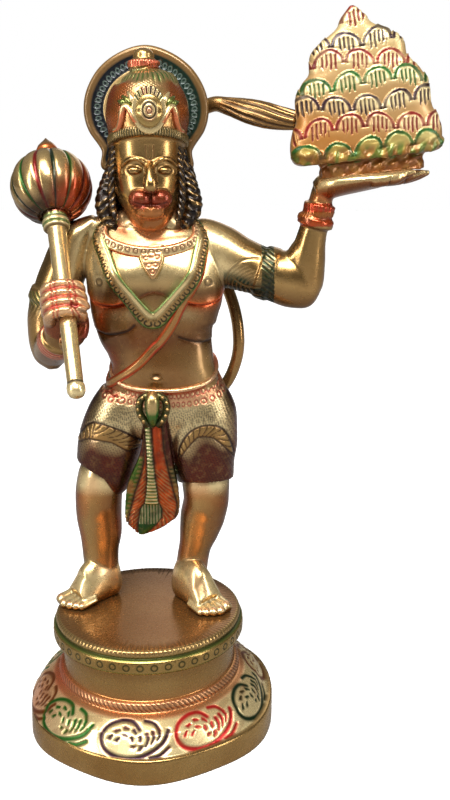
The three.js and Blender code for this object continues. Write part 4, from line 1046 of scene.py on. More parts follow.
def etchLeftArm(skin):
    # The armlet with slanting veins, the etched leaf above it, the beaded cuff and the knuckles of the palm
    x, y, z = skin.verts.T
    flat = skin.verts[:, [0, 2]]
    nearElbow = (z > 225) & (z < 275)
    armlet = (x > 81.4) & (x < 90.4) & nearElbow
    veins = slantVeins(np.arctan2(y - 9, z - 251), x - 86)
    skin.rise -= 0.5 * armlet * veins
    skin.coats(("darkGreen", armlet * (0.85 + 0.15 * veins)), ("ink", armlet * 0.5 * step(250 - z, 10)))
    skin.cut(armlet * slantVeins(np.arctan2(x + 66, 15 - y), z - 234.5) * 0.6)
    leaf = (x > 55) & (x < 81.6) & nearElbow & (y < 14)
    shade = step(252.5 - z + 2.2 * blotch(skin.verts, 12, 47) - 0.25 * (x - 55), 9)
    skin.coats(("darkGreen", leaf * shade), ("ink", 0.75 * leaf * step(248.5 - z - 0.12 * (x - 55), 10)))
    arch, spine = nearCurve(flat, skinLines["leaf"]), nearCurve(flat, skinLines["leafSpine"])
    spread = np.hypot(x - 80, (z - 243) * 1.2)
    barbs = ticked(spread, 2.9, 0.5) * (spine < 12) * (spine > 1) * (arch > 1.6) * (spread < 25) * (spread > 5)
    etched = leaf * np.maximum(np.maximum(line(arch, 0.6) * (arch < 2), line(spine, 0.6)), barbs * 0.8)
    skin.rise -= 0.35 * etched
    skin.lay("gold", 0.5 * etched * shade)
    skin.cut(etched * (0.7 - 0.4 * shade))

    cuff = (x > 103) & (x < 134) & (z > 284.6) & (z < 300.4)
    turn = np.arctan2(y + 1.2, x - 119)
    bead = cuff * (np.abs(z - 292.6) < 1.9)
    skin.rise += 0.5 * bead * wave(turn * 34 / (2 * np.pi))
    strokes = cuff * wave(turn * 22 / (2 * np.pi)) ** 3
    skin.rise -= 0.35 * strokes * (z > 294.4)
    skin.coats(("brick", cuff * 0.9), ("rust", cuff * 0.6 * step(blotch(skin.verts, 9, 49), 1.2)),
               ("red", strokes * (z > 294) * 0.6))
    upward = skin.normal[:, 2]
    # Brown on the palm's underside is painted shade, and cream on its upper side is a painted highlight
    skin.coats(
        ("amber", bead * 0.75), ("rust", 0.6 * (x > 105) * (x < 136) * bell(z - 304, 5)),
        ("brown", 0.8 * ((x > 124) & (z > 300) & (upward < -0.2))),
        ("cream", 0.7 * (x > 118) * (z > 306) * step(upward + 0.15, 0.5)))
    skin.etch(sum(line(x - at, 0.7) for at in (164, 176)) * (z > 305) * (upward < 0.3), 0.35, 0.6)


def etchRightArm(skin):
    # The armlet and the fronds about it, the ringed wrist, and the gaps and joints of the fist's fingers
    x, y, z = skin.verts.T
    turn = np.arctan2(x + 66, 15 - y)
    band = (z > 229.6) & (z < 239.4) & (x < -44) & (y > -8)
    veins = slantVeins(turn, z - 234.5)
    skin.lay("green", band * (0.3 + 0.6 * veins))
    skin.etch(band * veins, 0.4, 0.6)
    fade = bell(z - 231, 9) * ((x < -48) & (y > -10) & (z > 214) & (z < 250)) * (1 - band)
    frond = wave((turn * 20 + np.abs(z - 234) * 0.8) / 4.6) ** 2
    skin.lay("darkGreen", fade * (0.45 + 0.5 * frond))
    skin.rise -= 0.3 * fade * frond
    skin.cut(fade * frond * 0.6)
    along = (skin.verts - (-59.3, -15.3, 208.6)) @ unit(np.array([3.8, -8.6, 4.6]))
    wrist = (np.abs(along) < 5.4) & (x < -42) & (z < 224)
    rows = wave(along / 3.4)
    skin.rise -= 0.35 * wrist * rows ** 2
    skin.coats(("red", wrist * 0.85), ("cream", wrist * 0.5 * (1 - rows)))

    fist = np.linalg.norm(skin.verts - atGrip(0, -3, 0), axis=1) < 25
    right, ahead, along = [(skin.verts - gripPoint) @ way for way in (gripRight, gripFront, maceWay)]
    fingers = fist * step(ahead + 2, 5) * (np.abs(along) < 16)
    skin.coats(("brick", 0.75 * fist * step(-ahead - 1, 6) * step(6 - along, 12)),
               ("cream", 0.8 * fingers), ("pink", 0.35 * fingers))
    skin.etch(sum(line(along - at, 0.9) for at in (-6.6, 0, 6.6)) * (ahead > -4) * fist, 0.5, red=0.8)
    for at in (-6.5, -3.8, 4.6, 7.4):
        bow = 0.9 * wave(along / 6.6) * np.sign(at)
        skin.etch(line(right - at - bow, 0.55) * fist * (ahead > 2) * (np.abs(along) < 13.6), 0.35, 0.3,
                  red=0.7)


def makeBody():
    # Trunk and arms in one skin, carved and painted, with the jewels laid on it
    skin = Skin(fused([trunkShell(), *rightArmShells(), *leftArmShells()], torso["voxel"], 4))
    front = (skin.normal[:, 1] < 0.25) & (skin.verts[:, 1] < 10) & (np.abs(skin.verts[:, 0] - 7) < 52)
    paintTrunk(skin, front, carveTrunk(skin, front))
    etchLeftArm(skin)
    etchRightArm(skin)
    waxInHollows(skin, 0.5, 0.75)
    shell, paint = merged([(skin.raised(), skin), *jewelShells()])
    finished("figureBody", shell, paint, "figure brass", brass, "figure")


makeBody()
print("torso, arms and jewels are made")

dhoti = {
    "hips": [
        (9, 14, 130, 22, 15, 16), (10, 14, 143, 40, 19.6, 21), (12, 14, 158, 47.6, 23, 25),
        (11.6, 13, 172, 42.2, 22.6, 22.6, 10), (11.4, 12.6, 181, 38, 22.2, 21.2, 13),
        (11.4, 12.6, 182.4, 40, 24.6, 23.4, 13.4), (11.4, 12.6, 185.2, 40, 24.6, 23.4, 14),
        (11.4, 12.6, 186.4, 36.4, 20.6, 19.6, 14),
    ],
    "right": [
        (-36, 14.4, 100.4, 18.2, 17.2, 16.6, -1, -5), (-35.2, 14.6, 101.4, 20.2, 19.4, 19, -1, -5),
        (-32.6, 14.8, 113, 22.8, 21.4, 21), (-29.4, 15, 128, 23.9, 22.6, 22.4),
        (-24, 15, 145, 22.8, 22.6, 22.6), (-16.4, 15, 162, 19.6, 20, 20),
    ],
    "left": [
        (41.2, 14.4, 96.4, 18.4, 17.2, 16.6, -1, -4), (40.8, 14.6, 97.6, 20.8, 19.6, 19.2, -1, -4.4),
        (39, 14.8, 111, 24.4, 21.6, 21.4), (38, 15, 127, 27.4, 22.8, 22.4), (37.4, 15, 145, 27.6, 22.8, 22.8),
        (33, 15, 164, 24, 20, 20),
    ],
    "apron": [
        (6.6, -6, 152, 7.6, 9, 6), (5.6, -5, 122, 13, 8.6, 6), (2.4, -1, 92, 21.6, 7, 5, 0, -1),
        (1.8, 1, 79, 22.6, 5.4, 4.6, 0, -2), (-1.4, 0, 69, 17.6, 5, 4.4, 0, -6.5),
        (-6.8, -1.4, 58.6, 3, 2, 2, 0, -1),
    ],
    "bands": [  # the crescent over each knee: its upper edge and its lower one
        ([(-56, 128), (-52, 134), (-47.9, 138.5), (-45.1, 142), (-41.4, 144.6), (-37, 145.6), (-27, 143.4),
          (-15.6, 138.2), (-6.3, 130)],
         [(-56, 127), (-50, 130), (-46.9, 132), (-41.8, 133.3), (-34.5, 132.9), (-25.9, 131.4), (-20.2, 127.8),
          (-14.5, 124.2), (-6.3, 125)]),
        ([(21.6, 119), (23.4, 128), (29.3, 137.7), (36.5, 142.6), (43.8, 144.2), (51, 142.8), (56.7, 137.7),
          (60.5, 129.4), (63, 119)],
         [(21.6, 118), (25.5, 122.5), (29.2, 127.6), (33.9, 133.2), (37.9, 136), (46.6, 135), (52.4, 130.4),
          (57.5, 124.9), (63, 117.5)]),
    ],
    "apronEdge": {"z": [58, 69, 79, 92, 122, 152], "half": [3, 17, 22, 21.4, 13, 8],
                  "middle": [-6.8, -1.4, 1.8, 2.4, 5.6, 6.6]},
    "apronPattern": {  # at each height: the column's two edges, the panels' outer edges
        "z": [58, 66, 72, 79, 84, 92, 105, 118, 127, 145],
        "low": [-9, -9, -8, -7, -3.4, -2, -0.6, -0.4, -0.8, -1.4],
        "high": [-4, 4, 9, 9.4, 7, 6.4, 5.2, 4.4, 3.8, 3],
        "left": [-12, -17, -16, -14, -12.6, -10.6, -6, -2.6, -2.2, -2],
        "right": [2, 14, 19, 20.6, 20.4, 18.4, 15.8, 13.4, 11.9, 11],
    },
    "waist": {"height": 173.5, "tilt": 0.55, "middle": (11.4, 12.6)},
    "girdleRings": [(4.4, 4.7, 1.7), (-1.8, 5.8, 1.6)],  # height over the waist, pitch, radius
    "voxel": 0.72,
}

dhotiLook = dict(brass, rough=(0.24, 0.36), bump=0.35, brush=1500, brushWay=(1, 1, 1), paintDulls=0.08,
                 fineScale=900, specks=0.3, wear=0.6)


legs = {
    "right": [
        (-38.4, 21, 2, 12, 11, 10), (-40.7, 20.6, 21, 13.2, 12, 11.6), (-40.6, 18.6, 38, 14, 11.8, 12.4),
        (-39.8, 17.6, 54, 16.2, 13.4, 16.2), (-40.4, 16, 68, 17.2, 15, 17.8),
        (-39.8, 14.4, 84, 17.6, 17.2, 16.4), (-36.6, 14.4, 100, 18, 17, 16.4), (-33, 14.6, 108, 17, 16, 16),
    ],
    "left": [
        (28.4, 20, 2, 11.4, 11, 10), (29.8, 20, 21, 12.2, 11.8, 11.4), (32.2, 18.6, 38, 12.2, 11.8, 12.2),
        (36.2, 17.6, 54.6, 15.2, 13.4, 16), (39.2, 16, 68, 17.1, 15, 17.8), (41.8, 14.4, 83, 17.2, 17.2, 16.4),
        (41.4, 14.4, 96, 18, 17, 16.4), (40, 14.8, 104, 17, 16, 16),
    ],
    "feet": [((-29, 25, 0), (-57.4, 1.6, 0), -1), ((19.5, 22.5, 0), (44.6, -8, 0), 1)],
    "foot": [(0, 0, 12, 7, 8, 10), (0.14, 0, 13, 10, 19, 12), (0.42, 0.2, 15.6, 11.2, 23, 15),
             (0.74, 0.8, 11.4, 12.2, 16.6, 12), (0.98, 0.8, 8.6, 12.2, 8.6, 9)],
    "toes": [(8, 4.7, 1.3), (1.4, 3.2, 1.34), (-3.6, 3, 1.29), (-8, 2.7, 1.21), (-11.9, 2.4, 1.12)],
    "toe": [(-0.4, 9.4, 1), (-0.08, 7.4, 1.08), (0.02, 6.2, 0.7)],
    "voxel": 0.8,
}


def paintCloth(skin, cloth, front):
    # Dark woven cloth, with a painted highlight in cream where the upper thigh faces the front, and the
    # crescent band over each knee
    x, _, z = skin.verts.T
    facing = step(-skin.normal[:, 1] - 0.62, 0.5)
    upper = step(blotch(skin.verts * (1, 1, 0.3), 30, 11) * 6 + (z - 129), 16)
    weave = wave(z / 1.9 + 0.35 * np.sin(x * 0.8)) * wave((x + 0.4 * z) / 2.1)
    scratch = wave(z / 5 + blotch(skin.verts, 16, 14)) * wave(x / 1.5 + 0.5 * blotch(skin.verts, 20, 15))
    skin.rise -= 0.25 * cloth * weave
    # The cream where upper and facing meet, with the maroon thinned there, is a painted highlight
    skin.coats(
        ("brown", cloth * 0.45), ("maroon", cloth * (0.9 - 0.85 * upper * facing)),
        ("brick", cloth * 0.3 * step(blotch(skin.verts, 24, 12), 1.4) * (1 - upper * facing)),
        ("cream", cloth * 0.9 * upper * facing), ("purple", cloth * weave * (0.85 - 0.2 * upper)),
        ("purple", cloth * 0.75 * scratch * step(145 - z + 14 * facing, 8) * upper))
    flat = skin.verts[:, [0, 2]]
    for high, low in dhoti["bands"]:
        high, low = curved(high, 6), curved(low, 6)
        top, foot = np.interp(x, high[:, 0], high[:, 1]), np.interp(x, low[:, 0], low[:, 1])
        near = front & cloth & (x > high[0, 0]) & (x < high[-1, 0])
        inside = near & (z < top) & (z > foot)
        skin.colour[inside] = wash("gold")
        skin.cover[inside] = 0.25
        skin.lay("amber", 0.5 * inside * step(foot + 4 - z, 5))
        skin.rise[inside] = 0.3
        far, at = nearLine(flat, high)
        ticks = inside * ticked(at + 0.14 * far ** 2, 5.6, 0.55) * (far < 8.5)
        edges = np.maximum(line(far, 0.8), line(nearLine(flat, low)[0], 0.6) * 0.8)
        skin.etch(near * np.maximum(edges, ticks), 0.5, 0.75, purple=0.8)


def paintWaist(skin, cloth):
    # The girdle with two rows of rings, and the roll over it, told by the height over the roll's tilted plane
    x, y, z = skin.verts.T
    look = dhoti["waist"]
    waist = z - (look["height"] + look["tilt"] * (y - look["middle"][1]))
    turn = np.arctan2(x - look["middle"][0], look["middle"][1] - y)
    roll = cloth & (waist > 7.2) & (waist < 14)
    girdle = cloth & (waist > -7) & (waist < 8)
    skin.coats(("cream", girdle * 0.5 * step(waist + 5, 3)), ("pink", girdle * 0.45 * step(waist + 3, 6)))
    for low, pitch, radius in dhoti["girdleRings"]:
        across = ((turn * 42 / pitch) % 1 - 0.5) * pitch
        skin.etch(ringPunch(across, waist - low, radius, 0.5), 0.4, 0.4, red=0.75)
        skin.lay("cream", cloth * 0.6 * step(radius - 0.5 - np.hypot(across, waist - low), 0.5))
    skin.coats(("pink", roll * 0.6), ("cream", roll * 0.45 * step(waist - 9.4, 2)))
    skin.etch(cloth * (line(waist - 7.8, 0.9) + 0.6 * line(waist - 12.8, 0.8)), 0.4, red=0.8)
    skin.lay("orange", cloth * 0.5 * line(waist - 6.6, 1.4))


def paintApron(skin, apron):
    # A ticked column between two ribbed panels and the dotted strips beside them, with a tassel below: each
    # share is 1 between its edges at that height
    x, _, z = skin.verts.T
    marks = dhoti["apronPattern"]
    low, high, left, right = [np.interp(z, marks["z"], marks[name])
                              for name in ("low", "high", "left", "right")]
    column = apron * step(x - low, 0.3) * step(high - x, 0.3)
    ticks = column * ticked(z, 2.7, 0.75) * (z > 84)
    tassel = column * ticked(x, 2.2, 0.5) * (z < 83) * (z > 68)
    panel = apron * step(x - left, 0.3) * step(right - x, 0.3) * (1 - column)
    bone = panel * ticked(z + np.where(x > 1.5, x - high, low - x) * 1.1, 3.6, 0.75) * (z < 112)
    strip = apron * (1 - np.maximum(panel, column))
    gather = strip * step(z - 113 - 8 * (x < 3), 3)  # up there the cloth closes over the strips
    strip = strip * (1 - gather)
    past = np.minimum(x - left + 2.6, 0) + np.maximum(x - right - 2.6, 0)
    dots = strip * line(np.hypot((z / 3.6 % 1 - 0.5) * 3.6, past), 0.9)
    skin.coats(
        ("amber", apron * 0.8), ("green", column * 0.9), ("darkGreen", column * 0.6 * (z < 84)),
        ("cream", ticks * 0.9 + tassel * 0.7), ("rust", panel * 0.95),
        ("brick", panel * 0.6 * step(blotch(skin.verts, 12, 17), 1.0)), ("gold", bone * 0.6),
        ("green", strip * 0.85 * step(z - 74, 6) * step(blotch(skin.verts, 10, 19) + 0.7, 0.8) * (x < 5)),
        ("darkGreen", strip * 0.9 * step(z - 98 + 0.8 * (x - 20), 6) * (x > 5)),
        ("maroon", gather * 0.95), ("gold", dots * 0.6))
    edge = apron * sum(line(x - at, 0.55) for at in (low, high, left, right))
    skin.rise += 1.1 * column * (z > 84) - 0.3 * panel + 0.5 * bone
    skin.rise += 0.5 * ticks - 0.6 * edge - 0.4 * dots - 0.4 * tassel
    pleats = 1.4 * bell(x - (high + right) / 2, 3.2) * (x > 1.5)
    pleats += 1.2 * bell(x - (low + left) / 2, 2.6) * (x < 1.5)
    skin.rise += panel * pleats * step(z - 66, 8)
    nearest = np.min([np.abs(x - at) for at in (low, high, left, right)], axis=0)
    # Umber beside each edge of the pattern is painted shade
    skin.lay("umber", 0.75 * apron * bell(nearest, 1.5) * (1 - column))
    skin.cut(edge * 0.9 + tassel * 0.5 + 0.35 * apron * step(blotch(skin.verts, 7, 18) - 0.5, 0.8))
    skin.etch(apron * step(71 - z, 2) * ticked(x, 2.6, 0.5) * (np.abs(x) > 8), 0.3, 0.6)


def makeDhoti():
    # Hips, thighs and apron in one skin, told apart by the apron's edges at each height
    shells = [shellOf(loft(eased(dhoti["hips"], 1), sides=120, square=torso["square"])),
              shellOf(loft(eased(dhoti["right"], 1), sides=80)),
              shellOf(loft(eased(dhoti["left"], 1), sides=80)),
              shellOf(loft(eased(dhoti["apron"], 1), sides=96, flutes=6, fluteDepth=0.14))]
    skin = Skin(fused(shells, dhoti["voxel"], 3))
    x, y, z = skin.verts.T
    front = (skin.normal[:, 1] < 0.35) & (y < 16)
    half, middle = [np.interp(z, dhoti["apronEdge"]["z"], dhoti["apronEdge"][name])
                    for name in ("half", "middle")]
    apron = front & (np.abs(x - middle) < half * 1.02) & (y < 4) & (z < 150)
    paintCloth(skin, ~apron, front)
    paintWaist(skin, ~apron)
    paintApron(skin, apron)
    waxInHollows(skin, 0.5, 0.8)
    shell, paint = merged([(skin.raised(), skin), *knotShells()])
    finished("figureDhoti", shell, paint, "dhoti brass", dhotiLook, "figure")


def knotShells():
    # The belt's green knot: a bud between two loops set with beads
    parts = []

    def add(shell, *coats):
        paint = Paint(len(shell[0]))
        paint.coats(*coats)
        parts.append((shell, paint))

    bud = tubeShell([(5, -14.6, 170, 3), (5, -18, 166, 5), (5, -18, 160, 5), (5, -17.4, 154, 4.4),
                     (5, -15, 146, 2)], sides=36)
    x, y, z = bud[0].T
    add(bud, ("cream", 0.5), ("green", 0.8 * step(np.abs(x - 5) - 3.2, 1.5) + 0.9 * step(157 - z, 4)))
    for way in (-1, 1):
        loop = [(5 + way * x, y, z)
                for x, y, z in ((2, -15, 169), (8.6, -14.4, 165), (9.2, -15, 156), (3, -15, 146))]
        add(tubeShell(loop, 2.7, sides=28), ("darkGreen", 0.9))
        for x, y, z in evenly(curved(loop, 8), 3.9)[0][:-1]:
            add(ballShell((x + way * 0.7, y - 2.1, z), (1.45, 1.4, 1.45), 16, 8), ("gold", 0.5))
    return parts


def footAxes(heel, instep, way):
    # The foot's length, its way forward and its way inward
    sole = np.array(instep, float) - heel
    along = unit(sole)
    return np.linalg.norm(sole), along, np.array([along[1], -along[0], 0]) * -way


def footShells(heel, instep, way):
    # The foot's ovals from heel to instep, and five toes: place = heel + forward along + aside inward
    length, along, inner = footAxes(heel, instep, way)
    across = (along[1], -along[0], 0)

    def at(forward, aside, up):
        return (*(heel + along * forward * length + inner * aside)[:2], up - 4)

    rows = [(*at(f, a, up), *sizes) for f, a, up, *sizes in legs["foot"]]
    shells = [shellOf(loft(eased(rows, 1), across, 72))]
    for aside, thick, reach in legs["toes"]:
        toe = [(*at(reach + f, aside, up), thick * size) for f, up, size in legs["toe"]]
        shells.append(tubeShell(toe, across=(*across[:2], 1), sides=24))
    return shells


def makeLegs():
    # Each nail is e^(-((forward - tip) / 0.05)^2 - ((aside - toe) / half)^2), with a rim where that is 0.35
    shells = [shellOf(loft(eased(legs[name], 1.5), sides=72)) for name in ("right", "left")]
    for foot in legs["feet"]:
        shells += footShells(*foot)
    verts, quads, tris = fused(shells, legs["voxel"], 5)
    verts[:, 2] = np.maximum(verts[:, 2], 0.3)  # the soles are cut flat
    skin = Skin((verts, quads, tris))
    z = verts[:, 2]
    across, ahead, upward = skin.normal.T
    nails = []
    for heel, instep, way in legs["feet"]:
        length, along, inner = footAxes(heel, instep, way)
        forward, aside = (verts - heel) @ along / length, (verts - heel) @ inner
        onToes = (z > 2.6) * (upward > 0.1) * (np.abs(aside) < 16)
        for side, thick, reach in legs["toes"]:
            nails.append(bell(forward - reach + 0.03, 0.05) * bell(aside - side, thick * 0.55) * onToes)
            skin.rise += 0.35 * nails[-1]
    # Painted shade: umber on the sides of the legs, brown on their right-facing sides. Painted highlights: the
    # gold streak down the front, cream on the tops of the feet and on the knees
    skin.coats(
        ("amber", 0.62 * step(z - 26, 30)), ("umber", 0.9 * step(np.abs(across) - 0.6, 0.7) * step(z - 16, 26)),
        ("brown", 0.5 * step(across - 0.05, 0.5) * step(z - 48, 30) * step(90 - z, 12)),
        ("gold", 0.6 * bell(across + 0.42, 0.24) * (ahead < 0) * step(z - 20, 14)),
        ("cream", 0.85 * step(30 - z, 14) * step(upward + 0.05, 0.7)),
        ("cream", 0.8 * step(z - 92, 8) * step(-ahead - 0.5, 0.6)),
        ("rust", 0.25 * step(blotch(verts, 30, 23) - 0.4, 1.0) * step(z - 12, 10)))
    for nail in nails:
        skin.coats(("brick", 0.6 * np.clip(1 - np.abs(nail - 0.35) / 0.25, 0, 1)),
                   ("pink", 0.4 * step(nail - 0.5, 0.3)))
    skin.cut(bell(z - 0.3, 1.6) * 0.6)
    waxInHollows(skin, 0.45, 0.8)
    shell, paint = merged([(skin.raised(), skin)])
    finished("figureLegs", shell, paint, "leg brass", brass, "figure")


makeDhoti()
makeLegs()
print("dhoti, loin cloth and legs are made")

head = {
    "turn": 7, "axis": np.array([4.0, 2.0, 0.0]), "voxel": 0.6,
    "rows": [
        (0, 2, 287, 12, 15, 12), (0, -1, 295, 17.4, 21.6, 17), (0, 0, 306, 22.2, 22.5, 22),
        (0, 0, 317, 24, 22, 24.5), (0, 0, 327, 24.2, 22.5, 25.5), (0, 0, 336.5, 24.6, 24, 25.6, -6),
        (0, 0, 337.5, 27.2, 27.4, 27.8, -6), (0, 0, 342.5, 27.6, 27.8, 28.2, -5.5),
        (0, 0, 344, 26.4, 26.6, 27, -5), (0, 0, 357, 28, 27.8, 28.2, -2), (0, 0, 368, 26.4, 26, 26.4),
        (0, 0, 376.5, 22, 21.6, 22), (-0.8, 0, 382.6, 15.6, 15.4, 15.4), (-1.4, 0, 387, 9, 9, 9),
        (-1.6, 0, 387.8, 10.6, 10.6, 10.6), (-1.8, 0, 391.4, 10.6, 10.6, 10.6), (-1.8, 0, 392.2, 7.6, 7.6, 7.6),
        (-1.8, 0, 397, 6.6, 6.6, 6.6), (-1.8, 0, 400, 2.4, 2.4, 2.4),
    ],
    "nose": [(0, -20, 326, 3), (0, -26, 319, 4), (0, -29, 312, 5), (0, -28, 307.5, 3.4)],
    "chin": ((0, -20, 294.5), (10, 8, 5.5)),
    "mouth": [(-12, -18, 298.5, 1.2), (-6, -25.2, 297, 1.8), (0, -27.4, 296.4, 1.9), (6, -25.2, 297, 1.8),
              (12, -18, 298.5, 1.2)],
    "brow": [(2.5, -22.6, 325, 1.2), (8, -23.8, 328.4, 1.5), (14, -20.5, 328, 1.4), (19, -15, 323.5, 0.7)],
    "balls": [  # on each side: muzzle pad, eye, ear, ear drop
        ((6.8, -21.8, 303), (8, 7, 6.6)), ((10, -20.4, 321.2), (5.4, 3.2, 2.7), 28, 14),
        ((24.4, 1.4, 317), (2.8, 4.6, 7.4)), ((25.6, 1, 307.5), (2.4, 2.6, 3))],
    "parting": 3.4,  # how far across the hair parts
    "locks": [
        [(21.4, -7.4, 337, 1.8), (23, -7.8, 322, 2.2), (23.8, -8.6, 306, 2.4), (22.4, -10.2, 294, 2),
         (20, -11, 289, 1)],
        [(22, 4, 338, 3.6), (24.4, 5, 324, 4), (28.6, 5.4, 309, 6.2), (29.8, 4, 297, 7), (26.4, 1.4, 287, 4.4),
         (22.4, -1, 283, 1.6)],
        [(23, 12, 330, 5), (27, 12, 312, 6.6), (27, 12, 296, 7), (23, 12, 286, 3)],
    ],
    "back": [(4, 17, 340, 22, 9, 9), (4, 20, 318, 27, 11, 11), (4, 23, 298, 28, 13, 11),
             (4, 30, 272, 18, 7.5, 6.5), (4, 34.5, 252, 7, 4, 3.6)],
}


def ontoHead(verts):
    # Turned about Z with the head, then moved to its axis
    turn = math.radians(head["turn"])
    c, s = math.cos(turn), math.sin(turn)
    return verts @ np.array([[c, s, 0], [-s, c, 0], [0, 0, 1]]) + head["axis"]


def headShells():
    # Face and crown in one profile, with nose, chin and mouth, and muzzle, eye, brow and ear on each side
    shells = [shellOf(loft(eased(head["rows"], 0.8), sides=112)), tubeShell(head["nose"], sides=28),
              ballShell(*head["chin"]), tubeShell(head["mouth"], sides=20)]
    for way in (-1, 1):
        pad, eye, *ear = [ballShell((way * x, y, z), *rest) for (x, y, z), *rest in head["balls"]]
        brow = tubeShell([(way * x, y, z, r) for x, y, z, r in head["brow"]], sides=18)
        shells += [pad, eye, brow, *ear]
    return shells


def hairShells():
    # The mass at the back, and three locks on each side
    shells = [shellOf(loft(eased(head["back"], 1), sides=112, flutes=7, fluteDepth=0.08))]
    for way in (-1, 1):
        for lock in head["locks"]:
            route = [(head["parting"] + way * x, y, z, r) for x, y, z, r in lock]
            shells.append(tubeShell(route, across=(0, 1, 0), sides=40, steps=16))
    return shells


strands = {  # turns round a lock, pitch, wander, relief
    "lock": (3, 5.2, 1.5, 0.4), "back": (14, 60, 0.6, 0.75),
}


def strandedHair():
    # Locks carved in strands that wind down each one: relief = depth cos(turns angle + 2 pi z / pitch)
    parts = []
    for shell in hairShells():
        skin = Skin(shell)
        x, y, z = skin.verts.T
        isBack = y.max() > 36
        turns, pitch, wander, depth = strands["back" if isBack else "lock"]
        turn = np.arctan2(skin.normal[:, 0], -skin.normal[:, 1])
        bend = 1.2 * np.sin(z / 5 + turn) + wander * blotch(skin.verts, 11, 51)
        side = 1 if x.mean() > head["parting"] else -1
        strand = np.cos(turns * turn * side + 2 * np.pi * z / pitch + bend)
        if isBack:
            strand = 0.75 * strand + 0.25 * np.cos(2 * turns * turn + 2 * np.pi * z / pitch * 1.6)
        skin.rise += depth * strand
        shine = 1.5 * np.clip(strand - 0.5, 0, 1) * (0.9 + 0.8 * blotch(skin.raised()[0], 12, 31))
        skin.coats(("umber", 0.5), ("hair", 1 - shine))
        skin.cut(-strand)
        parts.append((skin.raised(), skin))
    return parts


def etchCrown(skin):
    # Stippled sides, a milled band on the tilted ring z = 340 - 0.217 y, rays under the topknot
    x, y, z = skin.verts.T
    turn = np.arctan2(x, -y)
    cells = turn * 27  # millimetres round the crown
    above = z - (340 - 0.217 * y)
    onBand = (np.abs(above) < 3.2) & (np.hypot(x, y) > 25.6)
    mill = wave(cells / 1.9) ** 2
    skin.coats(("darkGreen", onBand * (0.7 + 0.3 * mill)), ("gold", onBand * (1 - mill) * 0.4))
    skin.etch(onBand * mill, 0.45, 0.5)
    side = (above > 3) & (z < 386)
    cap = side * step(z - 377.6 - 1.5 * np.cos(turn * 9), 4)
    wall = side * (1 - cap)
    shield = np.exp(-np.clip(np.abs(x) - 10 + (z - 358) * 0.25, 0, 30) ** 2 / 30) * (y < 0) * (z < 373)
    top = np.exp(-np.clip(373 - z, 0, 30) ** 2 / 60) * step(8 - np.abs(x), 14) * (y < 0)
    bare = np.maximum(shield, top)
    tint = 0.5 + 0.5 * blotch(skin.verts, 20, 33)
    skin.coats(("amber", wall * (0.9 - 0.5 * bare)),
               ("brick", wall * 0.75 * step(tint - 0.4, 0.9) * (1 - bare)),
               ("rust", wall * 0.4 * step(0.3 - tint, 0.6) * (1 - bare)), ("cream", wall * 0.5 * top))
    dots = wave(cells / 1.8) * wave((z + 0.9 * np.round(cells / 1.8)) / 1.8)
    skin.rise -= 0.35 * wall * dots * (1 - shield)
    skin.cut(wall * dots ** 2 * (1 - shield) * 0.75)
    rays = wave(turn * 34 / (2 * np.pi)) ** 2
    skin.coats(("cream", cap * 0.5), ("green", cap * (0.3 + 0.7 * rays) * step(z - 376, 3)))
    skin.etch(cap * rays, 0.45, 0.4)
    topknot = (z > 387.3) & (z < 392)
    ridge = wave(turn * 15 / np.pi)
    skin.coats(("pink", topknot * 0.85), ("red", topknot * 0.5 * (1 - ridge)), ("gold", (z > 392.2) * 0.5))
    skin.rise += 0.5 * topknot * (ridge - 0.5)


def onCrown(x, z, lift=0.0):
    # The crown's front at a place across and up
    rows = np.array([row[:4] for row in head["rows"]], float)
    reach = np.interp(z, rows[5:, 2], rows[5:, 3])
    return (x, -math.sqrt(max(reach ** 2 - x ** 2, 1)) - lift, z)


medal = {
    "middle": 358, "half": (8.8, 10.4),
    "profile": [(1, -22), (1, -29.4), (0.92, -30.2), (0.74, -29.5), (0.6, -30.6), (0.3, -31.4), (0.04, -31.6)],
    "rings": [(7.4, 0.6, 1), (4.6, 0.55, 1), (1.9, 0.5, 0.8)],  # radius, half width, strength
    "crest": [(-22, 11.6, 15.4), (-27.4, 11.4, 15.2), (-28.4, 10.6, 14.4), (-28.6, 7, 10), (-28.6, 1, 1)],
    "slots": [("green", -1, -0.3), ("red", -0.3, -0.1), ("purple", -0.1, 0.5), ("green", 0.5, 1)],
    "scroll": [(7.4, -8.4, 1.3), (10.2, -3.4, 1.7), (13, 1.6, 1.7), (15.6, 2.6, 1.7), (17.2, -1.2, 1.7),
               (18.2, -6.4, 1.6), (20, -10.6, 1.4), (22.6, -11.6, 1.1)],
    "petals": [(9.6, 5.4, 12.4, 10.6, "cream"), (12.2, 5, 15.8, 8.6, "green"), (15.2, 5, 18.6, 6.2, "green")],
}


def medalDisc():
    # Ovals about a small ring, cut by rings where the scaled distance from its middle is their radius
    path = evenly(np.array([(y, 10 * share, 0) for share, y in medal["profile"]], float), 0.35)[0]
    wide, tall = path[:, 1:2] * 0.88, path[:, 1:2] * 1.04
    flat = np.concatenate([0 * wide, path[:, :1], medal["middle"] + 0 * wide, wide, tall, tall], axis=1)
    skin = Skin(shellOf(loft(flat, sides=150)))
    x, y, z = skin.verts.T
    far = np.hypot(x / medal["half"][0], (z - medal["middle"]) / medal["half"][1]) * 9.6
    cut = sum(share * line(far - radius, half) for radius, half, share in medal["rings"])
    cut = cut * (skin.normal[:, 1] < -0.2)
    skin.coats(("gold", 0.5), ("cream", 0.7 * (far < 6.6)),
               ("amber", 0.7 * (far < 6.6) * step(355 - z, 6)),
               ("pink", 0.45 * (far < 2.6)), ("ink", cut * 0.75), ("green", 0.3 * line(far - 9.4, 0.8)))
    skin.etch(cut, 0.6, 1)
    return skin


